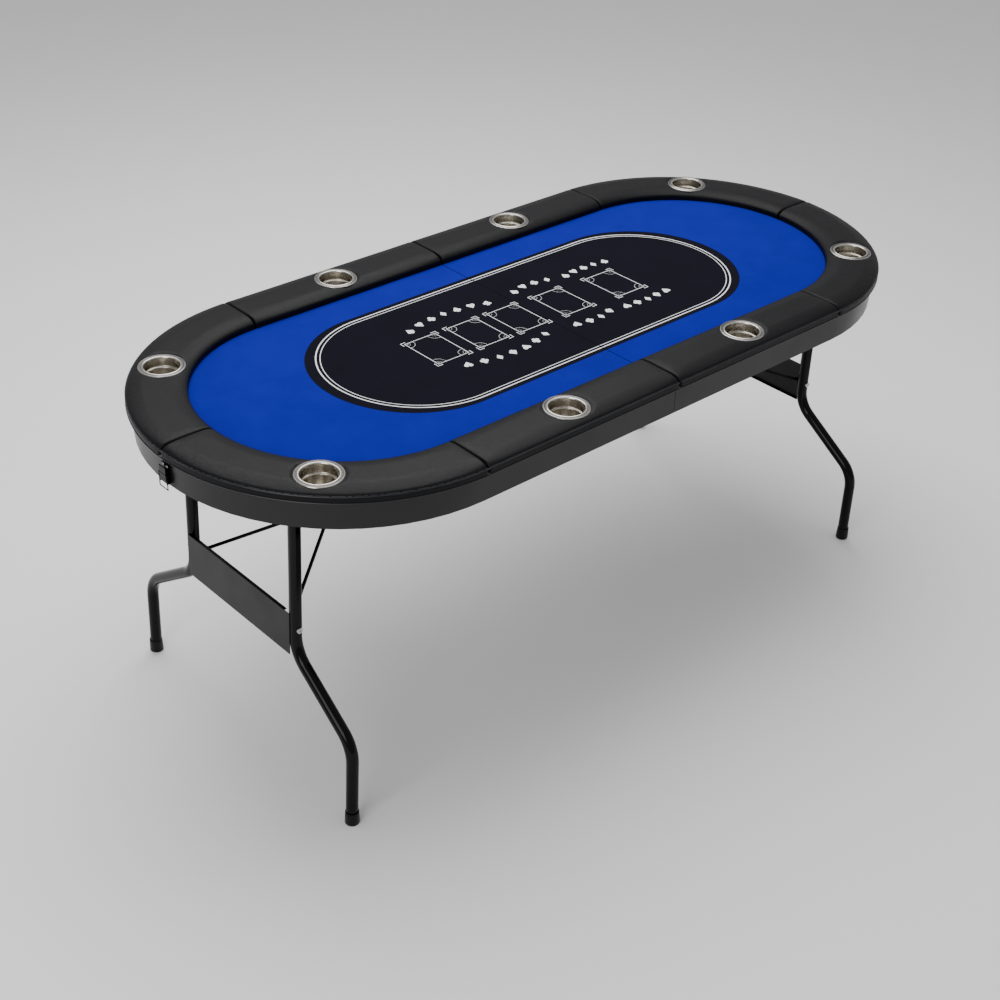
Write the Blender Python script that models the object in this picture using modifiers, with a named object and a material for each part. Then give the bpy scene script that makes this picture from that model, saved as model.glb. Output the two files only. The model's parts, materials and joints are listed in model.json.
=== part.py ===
"""Folding oval card table: two hinged halves, padded rail, cup holders, folding leg frames.

Frame: origin on the floor under the middle of the table, +X along the length towards the
right half, +Y across the width, +Z up.  Lengths are metres.
"""
import math

import bmesh
import bpy
from mathutils import Matrix, Vector

# ---------------------------------------------------------------- driving dimensions
HALF_LENGTH = 0.934          # rail outer edge on the long axis
HALF_WIDTH = 0.424           # rail outer edge across the table, also the end radius
ARC_X = HALF_LENGTH - HALF_WIDTH     # centre of each round end
CLEAR = 0.0003               # gap between two pieces that touch
NUDGE = 0.0002               # keeps the faces of two joined shapes out of one plane
SEAM = 0.0005                # each half stops this far from the middle plane
ARC_STEPS = 32               # facets of a half circle

APRON_BOTTOM = 0.675
BOARD_BOTTOM = 0.7225
BOARD_TOP = 0.7345
PLAY_RADIUS = 0.3200         # edge of the playing board; the rail boards lie outside it
FELT_TOP = 0.738
RAIL_TOP = 0.760
RAIL_BAND_TOP = 0.749        # top of the upright outer face of the rail
RAIL_WIDTH = 0.119
RAIL_FULLNESS = 6            # power of the crown: higher is a flatter top with fuller edges
RAIL_STEPS = 10
APRON_RADIUS = 0.4135
APRON_THICK = 0.008
MIDDLE_RAIL_WIDE = 0.028
MIDDLE_RAIL_BOTTOM = 0.6795

CUP_RING = 0.3622            # cup centres from the arc centre, or from the long axis
CUP_STRAIGHT_X = 0.257
CUP_BOTTOM = 0.7125
CUP_FLANGE = 0.047
CUP_MOUTH = 0.0373           # outer radius above the step
CUP_LOWER = 0.0333           # outer radius below the step
CUP_STEP = 0.7365
CUP_SHEET = 0.0009
HOLE_HALF = 0.0348           # half side of the square hole in the rail board
CUP_SEAT = 0.0029            # the pad is pressed down this far under the flange
CUP_STEPS = 24

FOLD_Z = 0.6745              # axis of the fold between the halves
HINGE_Y = 0.250
HINGE_LONG = 0.060
HINGE_REACH = 0.026          # leaf, out from the fold line
HINGE_SHEET = 0.002
KNUCKLE_RADIUS = 0.0035
PIN_RADIUS = 0.0015
PIN_PROUD = 0.001

LEG_X = 0.766                # leg axle
LEG_Z = 0.693
FOOT_X = 0.786               # splayed foot
FOOT_Y = 0.357
LEG_Y = 0.175
TUBE_RADIUS = 0.0127
TUBE_WALL = 0.0014
AXLE_RADIUS = 0.006
STUD_PROUD = 0.003           # pivot stud past the tube and past the bracket
BRACKET_SHEET = 0.002
BRACKET_HALF = 0.021         # half length of the bracket's flange
BRACKET_OUT = 0.024          # width of the flange
EAR_HALF = 0.014
EAR_DROP = 0.012             # the bracket's ear reaches this far below the axle
EAR_SHEET = 0.003
BEND_DOWN = (0.378, 0.503)   # the two bends, down the tube from the axle
BEND_RADIUS = 0.040
TUBE_SIDES = 16

PANEL_TOP = 0.283            # down the tube from the axle
PANEL_TALL = 0.097
PANEL_SHEET = 0.0015
PANEL_LIP = 0.008

BRACE_DOWN = 0.321           # brace pivot, down the tube from the axle
BRACE_Y = 0.157
KNEE_X = 0.551
KNEE_Z = 0.471
KNEE_BEND = 0.008            # bend of the rod at the knee
KNEE_RISE = 0.012            # knee pin above the plane of the brace rods
LUG_Y = 0.0036
LUG_THICK = 0.0024
ROD_RADIUS = 0.004
LINK_THICK = 0.004
LINK_HALF_TALL = 0.005
LINK_TOP_X = 0.470           # pivot of the link under the board
LINK_TOP_Z = 0.6935
LINK_SLIDE = 0.043           # cheeks of the link bracket reach this far in from the pivot

LATCH_WIDE = 0.024
LATCH_FACE = 0.9235          # end face of the apron on the long axis
LATCH_SHEET = 0.0014
LATCH_BASE_Z = (0.6785, 0.7190)
LATCH_EAR_TOP = 0.6910
LATCH_OUT = 0.0048           # lever pivot, out from the apron's face
LATCH_PIVOT_Z = 0.6845
LEVER_TALL = 0.030
LEVER_BARREL = 0.0026
LEVER_PIN = 0.0012
LOOP_OUT = 0.0024            # loop pivot, out from the lever pivot
LOOP_UP = 0.0145             # loop pivot, up from the lever pivot
LOOP_RADIUS = 0.0012
LOOP_HALF = 0.0135
LOOP_DROP = 0.030
CATCH_Z = (0.6800, 0.7020)
HOOK_Z = 0.6940
HOOK_OUT = 0.0060

TILT = math.atan2(FOOT_X - LEG_X, LEG_Z)

COLORS = {
    "leatherette": ((0.035, 0.036, 0.042), 0.45, 0.0),
    "felt": ((0.008, 0.045, 0.40), 0.95, 0.0),
    "black_panel": ((0.02, 0.02, 0.021), 0.35, 0.0),
    "board": ((0.045, 0.040, 0.036), 0.80, 0.0),
    "powder_black": ((0.012, 0.012, 0.013), 0.30, 0.0),
    "sheet_black": ((0.018, 0.018, 0.020), 0.45, 0.0),
    "stainless": ((0.62, 0.61, 0.59), 0.25, 1.0),
    "zinc": ((0.55, 0.56, 0.58), 0.35, 1.0),
    "foot_plastic": ((0.015, 0.015, 0.015), 0.60, 0.0),
}


# ---------------------------------------------------------------- helpers
def clear_scene():
    for old in list(bpy.data.objects):
        bpy.data.objects.remove(old, do_unlink=True)


def collection(name):
    made = bpy.data.collections.new(name)
    bpy.context.scene.collection.children.link(made)
    return made


def material(name):
    found = bpy.data.materials.get(name)
    if found:
        return found
    color, roughness, metallic = COLORS[name]
    made = bpy.data.materials.new(name)
    made.use_nodes = True
    shader = made.node_tree.nodes["Principled BSDF"]
    shader.inputs["Base Color"].default_value = (*color, 1.0)
    shader.inputs["Roughness"].default_value = roughness
    shader.inputs["Metallic"].default_value = metallic
    return made


def add_part(name, mesh, finish, parent=None):
    """A named sub-part with a material of its own, linked to the table's collection."""
    made = bpy.data.objects.new(name, mesh)
    mesh.name = name
    own = material(finish).copy()
    own.name = f"{finish}_{name}"
    mesh.materials.clear()
    mesh.materials.append(own)
    PARTS.objects.link(made)
    made.parent = parent
    return made


def add_cutter(name, mesh, parent=None):
    made = bpy.data.objects.new(name, mesh)
    CUTTERS.objects.link(made)
    made.hide_render = True
    made.display_type = "WIRE"
    made.parent = parent
    return made


def empty(name, location, turn_y=0.0):
    made = bpy.data.objects.new(name, None)
    PARTS.objects.link(made)
    made.location = location
    made.rotation_euler = (0.0, turn_y, 0.0)
    return made


def boolean(part, tool, operation="DIFFERENCE"):
    step = part.modifiers.new(tool.name, "BOOLEAN")
    step.operation = operation
    step.solver = "EXACT"
    step.object = tool


def finish_mesh(bm, name, smooth=False):
    bmesh.ops.remove_doubles(bm, verts=bm.verts, dist=0.00002)
    bmesh.ops.recalc_face_normals(bm, faces=bm.faces)
    mesh = bpy.data.meshes.new(name)
    bm.to_mesh(mesh)
    bm.free()
    if smooth:
        mesh.shade_smooth()
        mesh.set_sharp_from_angle(angle=math.radians(35))
    return mesh


def box_mesh(name, low, high):
    bm = bmesh.new()
    size = [b - a for a, b in zip(low, high)]
    middle = [(a + b) / 2 for a, b in zip(low, high)]
    bmesh.ops.create_cube(bm, size=1.0)
    bmesh.ops.scale(bm, vec=size, verts=bm.verts)
    bmesh.ops.translate(bm, vec=middle, verts=bm.verts)
    return finish_mesh(bm, name)


def rod_mesh(name, start, end, radius, sides=12):
    """A round bar between two points."""
    bm = bmesh.new()
    line = Vector(end) - Vector(start)
    turn = line.to_track_quat("Z", "Y").to_matrix().to_4x4()
    place = Matrix.Translation((Vector(start) + Vector(end)) / 2) @ turn
    bmesh.ops.create_cone(bm, cap_ends=True, segments=sides, radius1=radius, radius2=radius,
                          depth=line.length, matrix=place)
    return finish_mesh(bm, name, smooth=True)


def prism_mesh(name, outline, low, high):
    """A flat outline in X and Y, extruded from low to high."""
    curve = bpy.data.curves.new(name, "CURVE")
    curve.dimensions = "2D"
    curve.fill_mode = "BOTH"
    curve.extrude = (high - low) / 2
    spline = curve.splines.new("POLY")
    spline.points.add(len(outline) - 1)
    for point, (x, y) in zip(spline.points, outline):
        point.co = (x, y, 0.0, 1.0)
    spline.use_cyclic_u = True
    guide = bpy.data.objects.new(name, curve)
    bpy.context.scene.collection.objects.link(guide)
    bpy.context.view_layer.update()
    solid = bpy.data.meshes.new_from_object(guide.evaluated_get(bpy.context.evaluated_depsgraph_get()))
    bpy.data.objects.remove(guide, do_unlink=True)
    bm = bmesh.new()
    bm.from_mesh(solid)
    bmesh.ops.translate(bm, vec=(0.0, 0.0, (low + high) / 2), verts=bm.verts)
    return finish_mesh(bm, name, smooth=True)


def tube_mesh(name, points, radius, sides, wall=0.0):
    """A round tube along a line of points: solid, or open-ended with a wall."""
    curve = bpy.data.curves.new(name, "CURVE")
    curve.dimensions = "3D"
    curve.bevel_depth = radius
    curve.bevel_resolution = max(0, sides // 4 - 1)
    curve.use_fill_caps = wall == 0.0
    spline = curve.splines.new("POLY")
    spline.points.add(len(points) - 1)
    for point, place in zip(spline.points, points):
        point.co = (*place, 1.0)
    guide = bpy.data.objects.new(name, curve)
    bpy.context.scene.collection.objects.link(guide)
    bpy.context.view_layer.update()
    solid = bpy.data.meshes.new_from_object(guide.evaluated_get(bpy.context.evaluated_depsgraph_get()))
    bpy.data.objects.remove(guide, do_unlink=True)
    bm = bmesh.new()
    bm.from_mesh(solid)
    return finish_mesh(bm, name, smooth=True)


def end_arc(radius, side):
    """Points of the round end at this radius, from the -Y side round to the +Y side."""
    points = []
    for step in range(ARC_STEPS + 1):
        angle = -math.pi / 2 + math.pi * step / ARC_STEPS
        points.append((side * (ARC_X + radius * math.cos(angle)), radius * math.sin(angle)))
    return points


def half_oval(radius, side):
    """Half of the oval outline, closed along the middle seam."""
    return [(side * SEAM, -radius)] + end_arc(radius, side) + [(side * SEAM, radius)]


def cup_places(side):
    """Centres of the four cup holders of one half, keyed by the rail pad they sit in."""
    slant = CUP_RING / math.sqrt(2)
    return {
        "near_side": (side * CUP_STRAIGHT_X, -CUP_RING),
        "far_side": (side * CUP_STRAIGHT_X, CUP_RING),
        "near_corner": (side * (ARC_X + slant), -slant),
        "far_corner": (side * (ARC_X + slant), slant),
    }


# ---------------------------------------------------------------- top
def make_board(hand, side):
    """The playing board, inside the ring of rail boards."""
    mesh = prism_mesh(f"{hand}_board", half_oval(PLAY_RADIUS, side), BOARD_BOTTOM, BOARD_TOP)
    add_part(f"{hand}_board", mesh, "board")


def rail_board_outline(inner, outer, side, sign_y):
    """A straight run and the quarter ring after it, from the seam to the long axis."""
    trim = CLEAR / 2 / inner
    steps = ARC_STEPS // 2
    angles = [trim + (math.pi / 2 - trim) * step / steps for step in range(steps + 1)]
    lines = []
    for radius in (inner, outer):
        line = [(side * (ARC_X + radius * math.cos(angle)), sign_y * radius * math.sin(angle))
                for angle in angles]
        lines.append(line + [(side * SEAM, sign_y * radius)])
    return lines[0] + lines[1][::-1]


def make_rail_boards(hand, side):
    """The two boards under the rail of one half, each with square holes for its two cup holders."""
    inner = PLAY_RADIUS + CLEAR
    outer = APRON_RADIUS - APRON_THICK - CLEAR
    for row, sign_y in ROWS:
        name = f"{hand}_{row}_rail_board"
        mesh = prism_mesh(name, rail_board_outline(inner, outer, side, sign_y), BOARD_BOTTOM, BOARD_TOP)
        board = add_part(name, mesh, "board")
        for where, (x, y) in cup_places(side).items():
            if where.startswith(row):
                turn = 0.0 if where.endswith("side") else math.pi / 4
                hole = box_mesh(f"{hand}_{where}_board_hole", (-HOLE_HALF, -HOLE_HALF, CUP_BOTTOM),
                                (HOLE_HALF, HOLE_HALF, FELT_TOP))
                hole.transform(Matrix.Translation((x, y, 0.0)) @ Matrix.Rotation(turn, 4, "Z"))
                boolean(board, add_cutter(hole.name, hole))


def make_apron(hand, side):
    outer = half_oval(APRON_RADIUS, side)
    inner = half_oval(APRON_RADIUS - APRON_THICK, side)
    mesh = prism_mesh(f"{hand}_apron", outer + inner[::-1], APRON_BOTTOM, BOARD_TOP - CLEAR)
    add_part(f"{hand}_apron", mesh, "black_panel")


def make_middle_rail(hand, side):
    reach = APRON_RADIUS - APRON_THICK - CLEAR
    ends = sorted((side * SEAM, side * MIDDLE_RAIL_WIDE))
    mesh = box_mesh(f"{hand}_middle_rail", (ends[0], -reach, MIDDLE_RAIL_BOTTOM),
                    (ends[1], reach, BOARD_BOTTOM - CLEAR))
    add_part(f"{hand}_middle_rail", mesh, "board")


def make_felt(hand, side):
    radius = HALF_WIDTH - RAIL_WIDTH - CLEAR
    mesh = prism_mesh(f"{hand}_felt", half_oval(radius, side), BOARD_TOP + CLEAR, FELT_TOP)
    add_part(f"{hand}_felt", mesh, "felt")


def rail_profile():
    """Cross-section of the padded rail: distance in from its outer edge, and height."""
    foot = BOARD_TOP + CLEAR
    shoulder = RAIL_TOP - RAIL_BAND_TOP
    points = [(RAIL_WIDTH, foot), (0.0, foot)]
    for step in range(RAIL_STEPS + 1):
        across = math.cos(math.pi * step / RAIL_STEPS)
        drop = shoulder * abs(across) ** RAIL_FULLNESS
        points.append((RAIL_WIDTH * (1 - across) / 2, RAIL_TOP - drop))
    return points


def start_profile(bm, place):
    """The rail's cross-section as a face; place maps (inset, height) to a point."""
    ring = [bm.verts.new(place(inset, height)) for inset, height in rail_profile()]
    return bm.faces.new(ring)


def straight_pad(name, side, sign_y):
    bm = bmesh.new()
    near = side * SEAM
    far = side * (ARC_X - CLEAR / 2)
    face = start_profile(bm, lambda inset, height: (near, sign_y * (HALF_WIDTH - inset), height))
    grown = bmesh.ops.extrude_face_region(bm, geom=[face], use_keep_orig=True)["geom"]
    moved = [item for item in grown if isinstance(item, bmesh.types.BMVert)]
    bmesh.ops.translate(bm, vec=(far - near, 0.0, 0.0), verts=moved)
    return finish_mesh(bm, name, smooth=True)


def corner_pad(name, side, sign_y):
    bm = bmesh.new()
    trim = CLEAR / 2 / HALF_WIDTH
    start = math.pi / 2 - trim
    turn = start - trim

    def place(inset, height):
        reach = HALF_WIDTH - inset
        return (side * (ARC_X + reach * math.cos(start)), sign_y * reach * math.sin(start), height)

    face = start_profile(bm, place)
    bmesh.ops.spin(bm, geom=[face], cent=(side * ARC_X, 0.0, 0.0), axis=(0.0, 0.0, 1.0),
                   angle=-turn * side * sign_y, steps=ARC_STEPS // 2)
    bmesh.ops.holes_fill(bm, edges=bm.edges, sides=0)
    return finish_mesh(bm, name, smooth=True)


def make_rail(hand, side):
    places = cup_places(side)
    for where, (x, y) in places.items():
        name = f"{hand}_{where}_pad"
        sign_y = 1 if y > 0 else -1
        build = straight_pad if where.endswith("side") else corner_pad
        pad = add_part(name, build(name, side, sign_y), "leatherette")
        hole = rod_mesh(f"{name}_hole", (x, y, BOARD_BOTTOM), (x, y, RAIL_TOP + CUP_SEAT),
                        CUP_MOUTH + 2 * CLEAR, CUP_STEPS)
        seat = rod_mesh(f"{name}_seat", (x, y, RAIL_TOP - CUP_SEAT), (x, y, RAIL_TOP + CUP_SEAT),
                        CUP_FLANGE + 2 * CLEAR, CUP_STEPS)
        boolean(pad, add_cutter(hole.name, hole))
        boolean(pad, add_cutter(seat.name, seat))


def cup_profile():
    """Cup wall from the middle of its floor, up the inside, over the rim and down."""
    rim = RAIL_TOP - 0.0003
    inner = CUP_MOUTH - CUP_SHEET
    floor = CUP_BOTTOM + CUP_SHEET
    return [
        (0.0, floor), (CUP_LOWER - 0.0030, floor), (CUP_LOWER - CUP_SHEET, floor + 0.0021),
        (CUP_LOWER - CUP_SHEET, CUP_STEP + CUP_SHEET), (inner, CUP_STEP + CUP_SHEET),
        (inner, rim - 0.0014), (inner + 0.0016, rim), (inner + 0.0034, rim - 0.0007),
        (CUP_FLANGE - 0.0030, rim - 0.0007), (CUP_FLANGE - 0.0018, rim), (CUP_FLANGE, rim - 0.0012),
        (CUP_FLANGE, rim - 0.0022), (CUP_MOUTH, rim - 0.0022), (CUP_MOUTH, CUP_STEP),
        (CUP_LOWER, CUP_STEP), (CUP_LOWER, CUP_BOTTOM), (0.0, CUP_BOTTOM),
    ]


def make_cups(hand, side):
    for where, (x, y) in cup_places(side).items():
        name = f"{hand}_{where}_cup"
        bm = bmesh.new()
        line = [bm.verts.new((radius, 0.0, height)) for radius, height in cup_profile()]
        for first, second in zip(line, line[1:]):
            bm.edges.new((first, second))
        mesh = bpy.data.meshes.new(name)
        bm.to_mesh(mesh)
        bm.free()
        cup = add_part(name, mesh, "stainless")
        cup.location = (x, y, 0.0)
        turned = cup.modifiers.new("turned", "SCREW")
        turned.steps = CUP_STEPS
        turned.render_steps = CUP_STEPS
        turned.use_merge_vertices = True
        turned.merge_threshold = 0.00005
        turned.use_smooth_shade = True


# ---------------------------------------------------------------- fold hinges
def make_hinge_leaf(hand, side, where, y):
    """One leaf: a flat plate and every other knuckle of the barrel; the left leaf holds the pin."""
    name = f"{hand}_{where}_hinge_leaf"
    top = MIDDLE_RAIL_BOTTOM - CLEAR
    pitch = HINGE_LONG / 5
    ends = sorted((side * 0.0042, side * HINGE_REACH))
    plate = add_part(name, box_mesh(name, (ends[0], y - HINGE_LONG / 2, top - HINGE_SHEET),
                                    (ends[1], y + HINGE_LONG / 2, top)), "zinc")
    for slot in ((0, 2, 4) if side < 0 else (1, 3)):
        low = y - HINGE_LONG / 2 + slot * pitch + CLEAR
        high = low + pitch - 2 * CLEAR
        knuckle = rod_mesh(f"{name}_knuckle_{slot}", (0, low, FOLD_Z), (0, high, FOLD_Z), KNUCKLE_RADIUS)
        reach = sorted((side * 0.0010, side * 0.006))
        web = box_mesh(f"{name}_web_{slot}", (reach[0], low + NUDGE, FOLD_Z + 0.0010),
                       (reach[1], high - NUDGE, top - NUDGE))
        boolean(plate, add_cutter(web.name, web), "UNION")
        boolean(plate, add_cutter(knuckle.name, knuckle), "UNION")
    if side < 0:
        reach = HINGE_LONG / 2 + PIN_PROUD
        pin = rod_mesh(f"{name}_pin", (0, y - reach, FOLD_Z), (0, y + reach, FOLD_Z), PIN_RADIUS)
        boolean(plate, add_cutter(pin.name, pin), "UNION")
    else:
        bore = rod_mesh(f"{name}_bore", (0, y - HINGE_LONG, FOLD_Z), (0, y + HINGE_LONG, FOLD_Z),
                        PIN_RADIUS + CLEAR)
        boolean(plate, add_cutter(bore.name, bore))


def make_fold_hinges():
    for where, y in (("near", -HINGE_Y), ("far", HINGE_Y)):
        for hand, side in HALVES:
            make_hinge_leaf(hand, side, where, y)


# ---------------------------------------------------------------- leg frames
def fillet(before, corner, after, radius, steps=3):
    """Round a corner of a flat path with an arc of this radius."""
    into = (corner - before).normalized()
    away = (after - corner).normalized()
    turn = into.angle(away)
    back = radius * math.tan(turn / 2)
    start = corner - into * back
    inward = (away - into * away.dot(into)).normalized()
    centre = start + inward * radius
    points = []
    for step in range(steps + 1):
        angle = turn * step / steps
        points.append(centre - inward * radius * math.cos(angle) + into * radius * math.sin(angle))
    return points


def tube_path(sign_y):
    """Centre line of one leg tube, in the leg frame's own space (axle at its origin)."""
    down = LEG_Z / math.cos(TILT)
    top = Vector((0.0, sign_y * LEG_Y, 0.0130))
    upper = Vector((0.0, sign_y * LEG_Y, -BEND_DOWN[0]))
    lower = Vector((0.0, sign_y * FOOT_Y, -BEND_DOWN[1]))
    end = Vector((0.0, sign_y * FOOT_Y, -down + 0.0075))
    return ([top] + fillet(top, upper, lower, BEND_RADIUS)
            + fillet(upper, lower, end, BEND_RADIUS) + [end])


def make_leg_tube(hand, where, sign_y, pivot):
    name = f"{hand}_{where}_leg_tube"
    mesh = tube_mesh(name, tube_path(sign_y), TUBE_RADIUS, TUBE_SIDES, TUBE_WALL)
    tube = add_part(name, mesh, "powder_black", pivot)
    wall = tube.modifiers.new("wall", "SOLIDIFY")
    wall.thickness = TUBE_WALL
    wall.offset = -1.0
    y = sign_y * LEG_Y
    axle_hole = rod_mesh(f"{name}_axle_hole", (0, y - 0.03, 0), (0, y + 0.03, 0), AXLE_RADIUS + CLEAR)
    boolean(tube, add_cutter(axle_hole.name, axle_hole, pivot))
    bolt_hole = rod_mesh(f"{name}_bolt_hole", (0, y - 0.03, -BRACE_DOWN), (0, y + 0.03, -BRACE_DOWN),
                         0.0034)
    boolean(tube, add_cutter(bolt_hole.name, bolt_hole, pivot))


def make_foot_cap(hand, where, sign_y, side, pivot):
    """Moulded cap: a blind socket round the tube end, standing flat on the floor."""
    name = f"{hand}_{where}_foot_cap"
    tall = 0.030
    x = side * (FOOT_X - 0.018 * math.tan(TILT))
    y = sign_y * FOOT_Y
    cap = add_part(name, rod_mesh(name, (x, y, 0), (x, y, tall), 0.0155, 24), "foot_plastic")
    socket = rod_mesh(f"{name}_socket", (x, y, 0.0068), (x, y, tall + 0.01), 0.0139, TUBE_SIDES)
    boolean(cap, add_cutter(socket.name, socket))
    cap.parent = pivot
    cap.matrix_parent_inverse = pivot.matrix_world.inverted()
    cutter = bpy.data.objects[socket.name]
    cutter.parent = pivot
    cutter.matrix_parent_inverse = pivot.matrix_world.inverted()


def make_brace_bolt(hand, where, sign_y, pivot):
    """Bolt through the tube: a domed cross-slot head outside, the brace pivot inside."""
    name = f"{hand}_{where}_brace_bolt"
    outer = LEG_Y + TUBE_RADIUS + CLEAR
    shank = rod_mesh(name, (0, sign_y * 0.150, -BRACE_DOWN), (0, sign_y * (outer + 0.001), -BRACE_DOWN),
                     0.003, 16)
    bolt = add_part(name, shank, "zinc", pivot)
    head = rod_mesh(f"{name}_head", (0, sign_y * outer, -BRACE_DOWN),
                    (0, sign_y * (outer + 0.0032), -BRACE_DOWN), 0.0062, 20)
    boolean(bolt, add_cutter(head.name, head, pivot), "UNION")
    for turn, (wide, tall) in enumerate(((0.0012, 0.0068), (0.0068, 0.0012))):
        deep = sorted((sign_y * (outer + 0.0018), sign_y * (outer + 0.006)))
        slot = box_mesh(f"{name}_slot_{turn}", (-wide / 2, deep[0], -BRACE_DOWN - tall / 2),
                        (wide / 2, deep[1], -BRACE_DOWN + tall / 2))
        boolean(bolt, add_cutter(slot.name, slot, pivot))


def make_cross_panel(hand, side, pivot):
    """Sheet panel across the outer side of the two tubes, lips turned in top and bottom."""
    name = f"{hand}_cross_panel"
    near = side * (TUBE_RADIUS + CLEAR)
    far = near + side * PANEL_SHEET
    ends = sorted((near, far))
    top = -PANEL_TOP
    bottom = top - PANEL_TALL
    panel = add_part(name, box_mesh(name, (ends[0], -LEG_Y, bottom), (ends[1], LEG_Y, top)),
                     "sheet_black", pivot)
    for edge, (low, high) in (("top", (top - PANEL_SHEET, top - NUDGE)),
                              ("bottom", (bottom + NUDGE, bottom + PANEL_SHEET))):
        turned = sorted((far - side * 0.0002, far - side * PANEL_LIP))
        lip = box_mesh(f"{name}_{edge}_lip", (turned[0], -BRACE_Y, low), (turned[1], BRACE_Y, high))
        boolean(panel, add_cutter(lip.name, lip, pivot), "UNION")


def make_leg_mounts(hand, side):
    """The two brackets under the board, each with the pivot stud of its tube."""
    x = side * LEG_X
    inner = LEG_Y + TUBE_RADIUS + 2 * CLEAR
    top = BOARD_BOTTOM - CLEAR
    for where, sign_y in ROWS:
        name = f"{hand}_{where}_leg_bracket"
        flange = sorted((sign_y * (inner + NUDGE), sign_y * (inner + BRACKET_OUT)))
        bracket = add_part(name, box_mesh(name, (x - BRACKET_HALF, flange[0], top - BRACKET_SHEET),
                                          (x + BRACKET_HALF, flange[1], top)), "powder_black")
        cheek = sorted((sign_y * inner, sign_y * (inner + EAR_SHEET)))
        ear = box_mesh(f"{name}_ear", (x - EAR_HALF, cheek[0], LEG_Z - EAR_DROP),
                       (x + EAR_HALF, cheek[1], top - NUDGE))
        boolean(bracket, add_cutter(ear.name, ear), "UNION")
        stud_ends = [sign_y * (LEG_Y - TUBE_RADIUS - STUD_PROUD), sign_y * (inner + EAR_SHEET + STUD_PROUD)]
        stud = rod_mesh(f"{name}_stud", (x, stud_ends[0], LEG_Z), (x, stud_ends[1], LEG_Z), AXLE_RADIUS, 20)
        boolean(bracket, add_cutter(stud.name, stud), "UNION")


# ---------------------------------------------------------------- folding braces
def brace_pivot():
    """Brace pivot on the leg frame, in the plane of X outward and Z up."""
    return Vector((LEG_X + BRACE_DOWN * math.sin(TILT), 0.0, LEG_Z - BRACE_DOWN * math.cos(TILT)))


def brace_corner():
    """Where the lines of the two brace rods would meet, and the unit line to it from the pivot."""
    corner = Vector((KNEE_X, 0.0, KNEE_Z))
    along = (corner - brace_pivot()).normalized()
    return corner, along


def knee_point():
    """Middle of the rod's bend, the knee pin above it, and the normal of the brace's plane."""
    corner, along = brace_corner()
    reach = (corner - brace_pivot()).length
    opening = math.atan2(BRACE_Y, reach)
    bend = corner - along * KNEE_BEND * (1 / math.sin(opening) - 1)
    normal = Vector((along.z, 0.0, -along.x))
    return bend, bend + normal * KNEE_RISE, normal


def mirrored(point, side):
    return (side * point[0], point[1], point[2])


def make_v_brace(hand, side):
    """One rod bent to a V between the leg tubes, an eye at each end, a forked knee lug."""
    name = f"{hand}_v_brace"
    pivot = brace_pivot()
    corner = brace_corner()[0]
    bend, knee, normal = knee_point()
    holder = empty(f"{name}_pivot", mirrored(pivot, side))
    shift = Matrix.Translation(-Vector(mirrored(pivot, side)))

    def cross_pin(part, middle, low, high, radius, sides=12):
        ends = [Vector(mirrored(middle + Vector((0, y, 0)), side)) for y in (low, high)]
        mesh = rod_mesh(part, ends[0], ends[1], radius, sides)
        mesh.transform(shift)
        return mesh

    ends = [pivot + Vector((0, sign_y * BRACE_Y, 0)) for _, sign_y in ROWS]
    line = [ends[0]] + fillet(ends[0], corner, ends[1], KNEE_BEND, 4) + [ends[1]]
    rod = tube_mesh(name, [mirrored(point, side) for point in line], ROD_RADIUS, 12)
    rod.transform(shift)
    brace = add_part(name, rod, "powder_black", holder)
    slant = Matrix.Rotation(math.atan2(normal.x, normal.z) * side, 4, "Y")
    for where, sign_y in ROWS:
        y = sign_y * LUG_Y
        lug = cross_pin(f"{name}_{where}_lug", knee, y - LUG_THICK / 2, y + LUG_THICK / 2, 0.0055)
        boolean(brace, add_cutter(lug.name, lug, holder), "UNION")
        web_half = LUG_THICK / 2 - NUDGE
        web = box_mesh(f"{name}_{where}_web", (-0.0043, y - web_half, 0.0), (0.0043, y + web_half, KNEE_RISE))
        web.transform(shift @ Matrix.Translation(mirrored(bend, side)) @ slant)
        boolean(brace, add_cutter(web.name, web, holder), "UNION")
        eye_y = sign_y * BRACE_Y
        eye = cross_pin(f"{name}_{where}_eye", pivot, eye_y - 0.0047, eye_y + 0.0047, 0.0064, 18)
        boolean(brace, add_cutter(eye.name, eye, holder), "UNION")
        bore = cross_pin(f"{name}_{where}_bore", pivot, eye_y - 0.02, eye_y + 0.02, 0.0034)
        boolean(brace, add_cutter(bore.name, bore, holder))
    pin = cross_pin(f"{name}_knee_pin", knee, -0.0058, 0.0058, 0.0024, 12)
    boolean(brace, add_cutter(pin.name, pin, holder), "UNION")


def make_knee_link(hand, side):
    """Flat bar from the knee pin up to the bracket under the board."""
    name = f"{hand}_knee_link"
    knee = knee_point()[1]
    top = Vector((LINK_TOP_X, 0.0, LINK_TOP_Z))
    line = top - knee
    holder = empty(f"{name}_pivot", mirrored(knee, side))
    half = LINK_THICK / 2
    bar = box_mesh(name, (-LINK_HALF_TALL, -half, 0.0), (LINK_HALF_TALL, half, line.length))
    slant = Matrix.Rotation(math.atan2(line.x, line.z) * side, 4, "Y")
    bar.transform(slant)
    link = add_part(name, bar, "powder_black", holder)
    for where, place in (("knee", Vector()), ("top", Vector(mirrored(line, side)))):
        wide = Vector((0, half - NUDGE, 0))
        disc = rod_mesh(f"{name}_{where}_eye", place - wide, place + wide, LINK_HALF_TALL + 0.0006, 20)
        boolean(link, add_cutter(disc.name, disc, holder), "UNION")
        hole = rod_mesh(f"{name}_{where}_hole", place - Vector((0, 0.01, 0)), place + Vector((0, 0.01, 0)),
                        0.0029, 16)
        boolean(link, add_cutter(hole.name, hole, holder))


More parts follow.
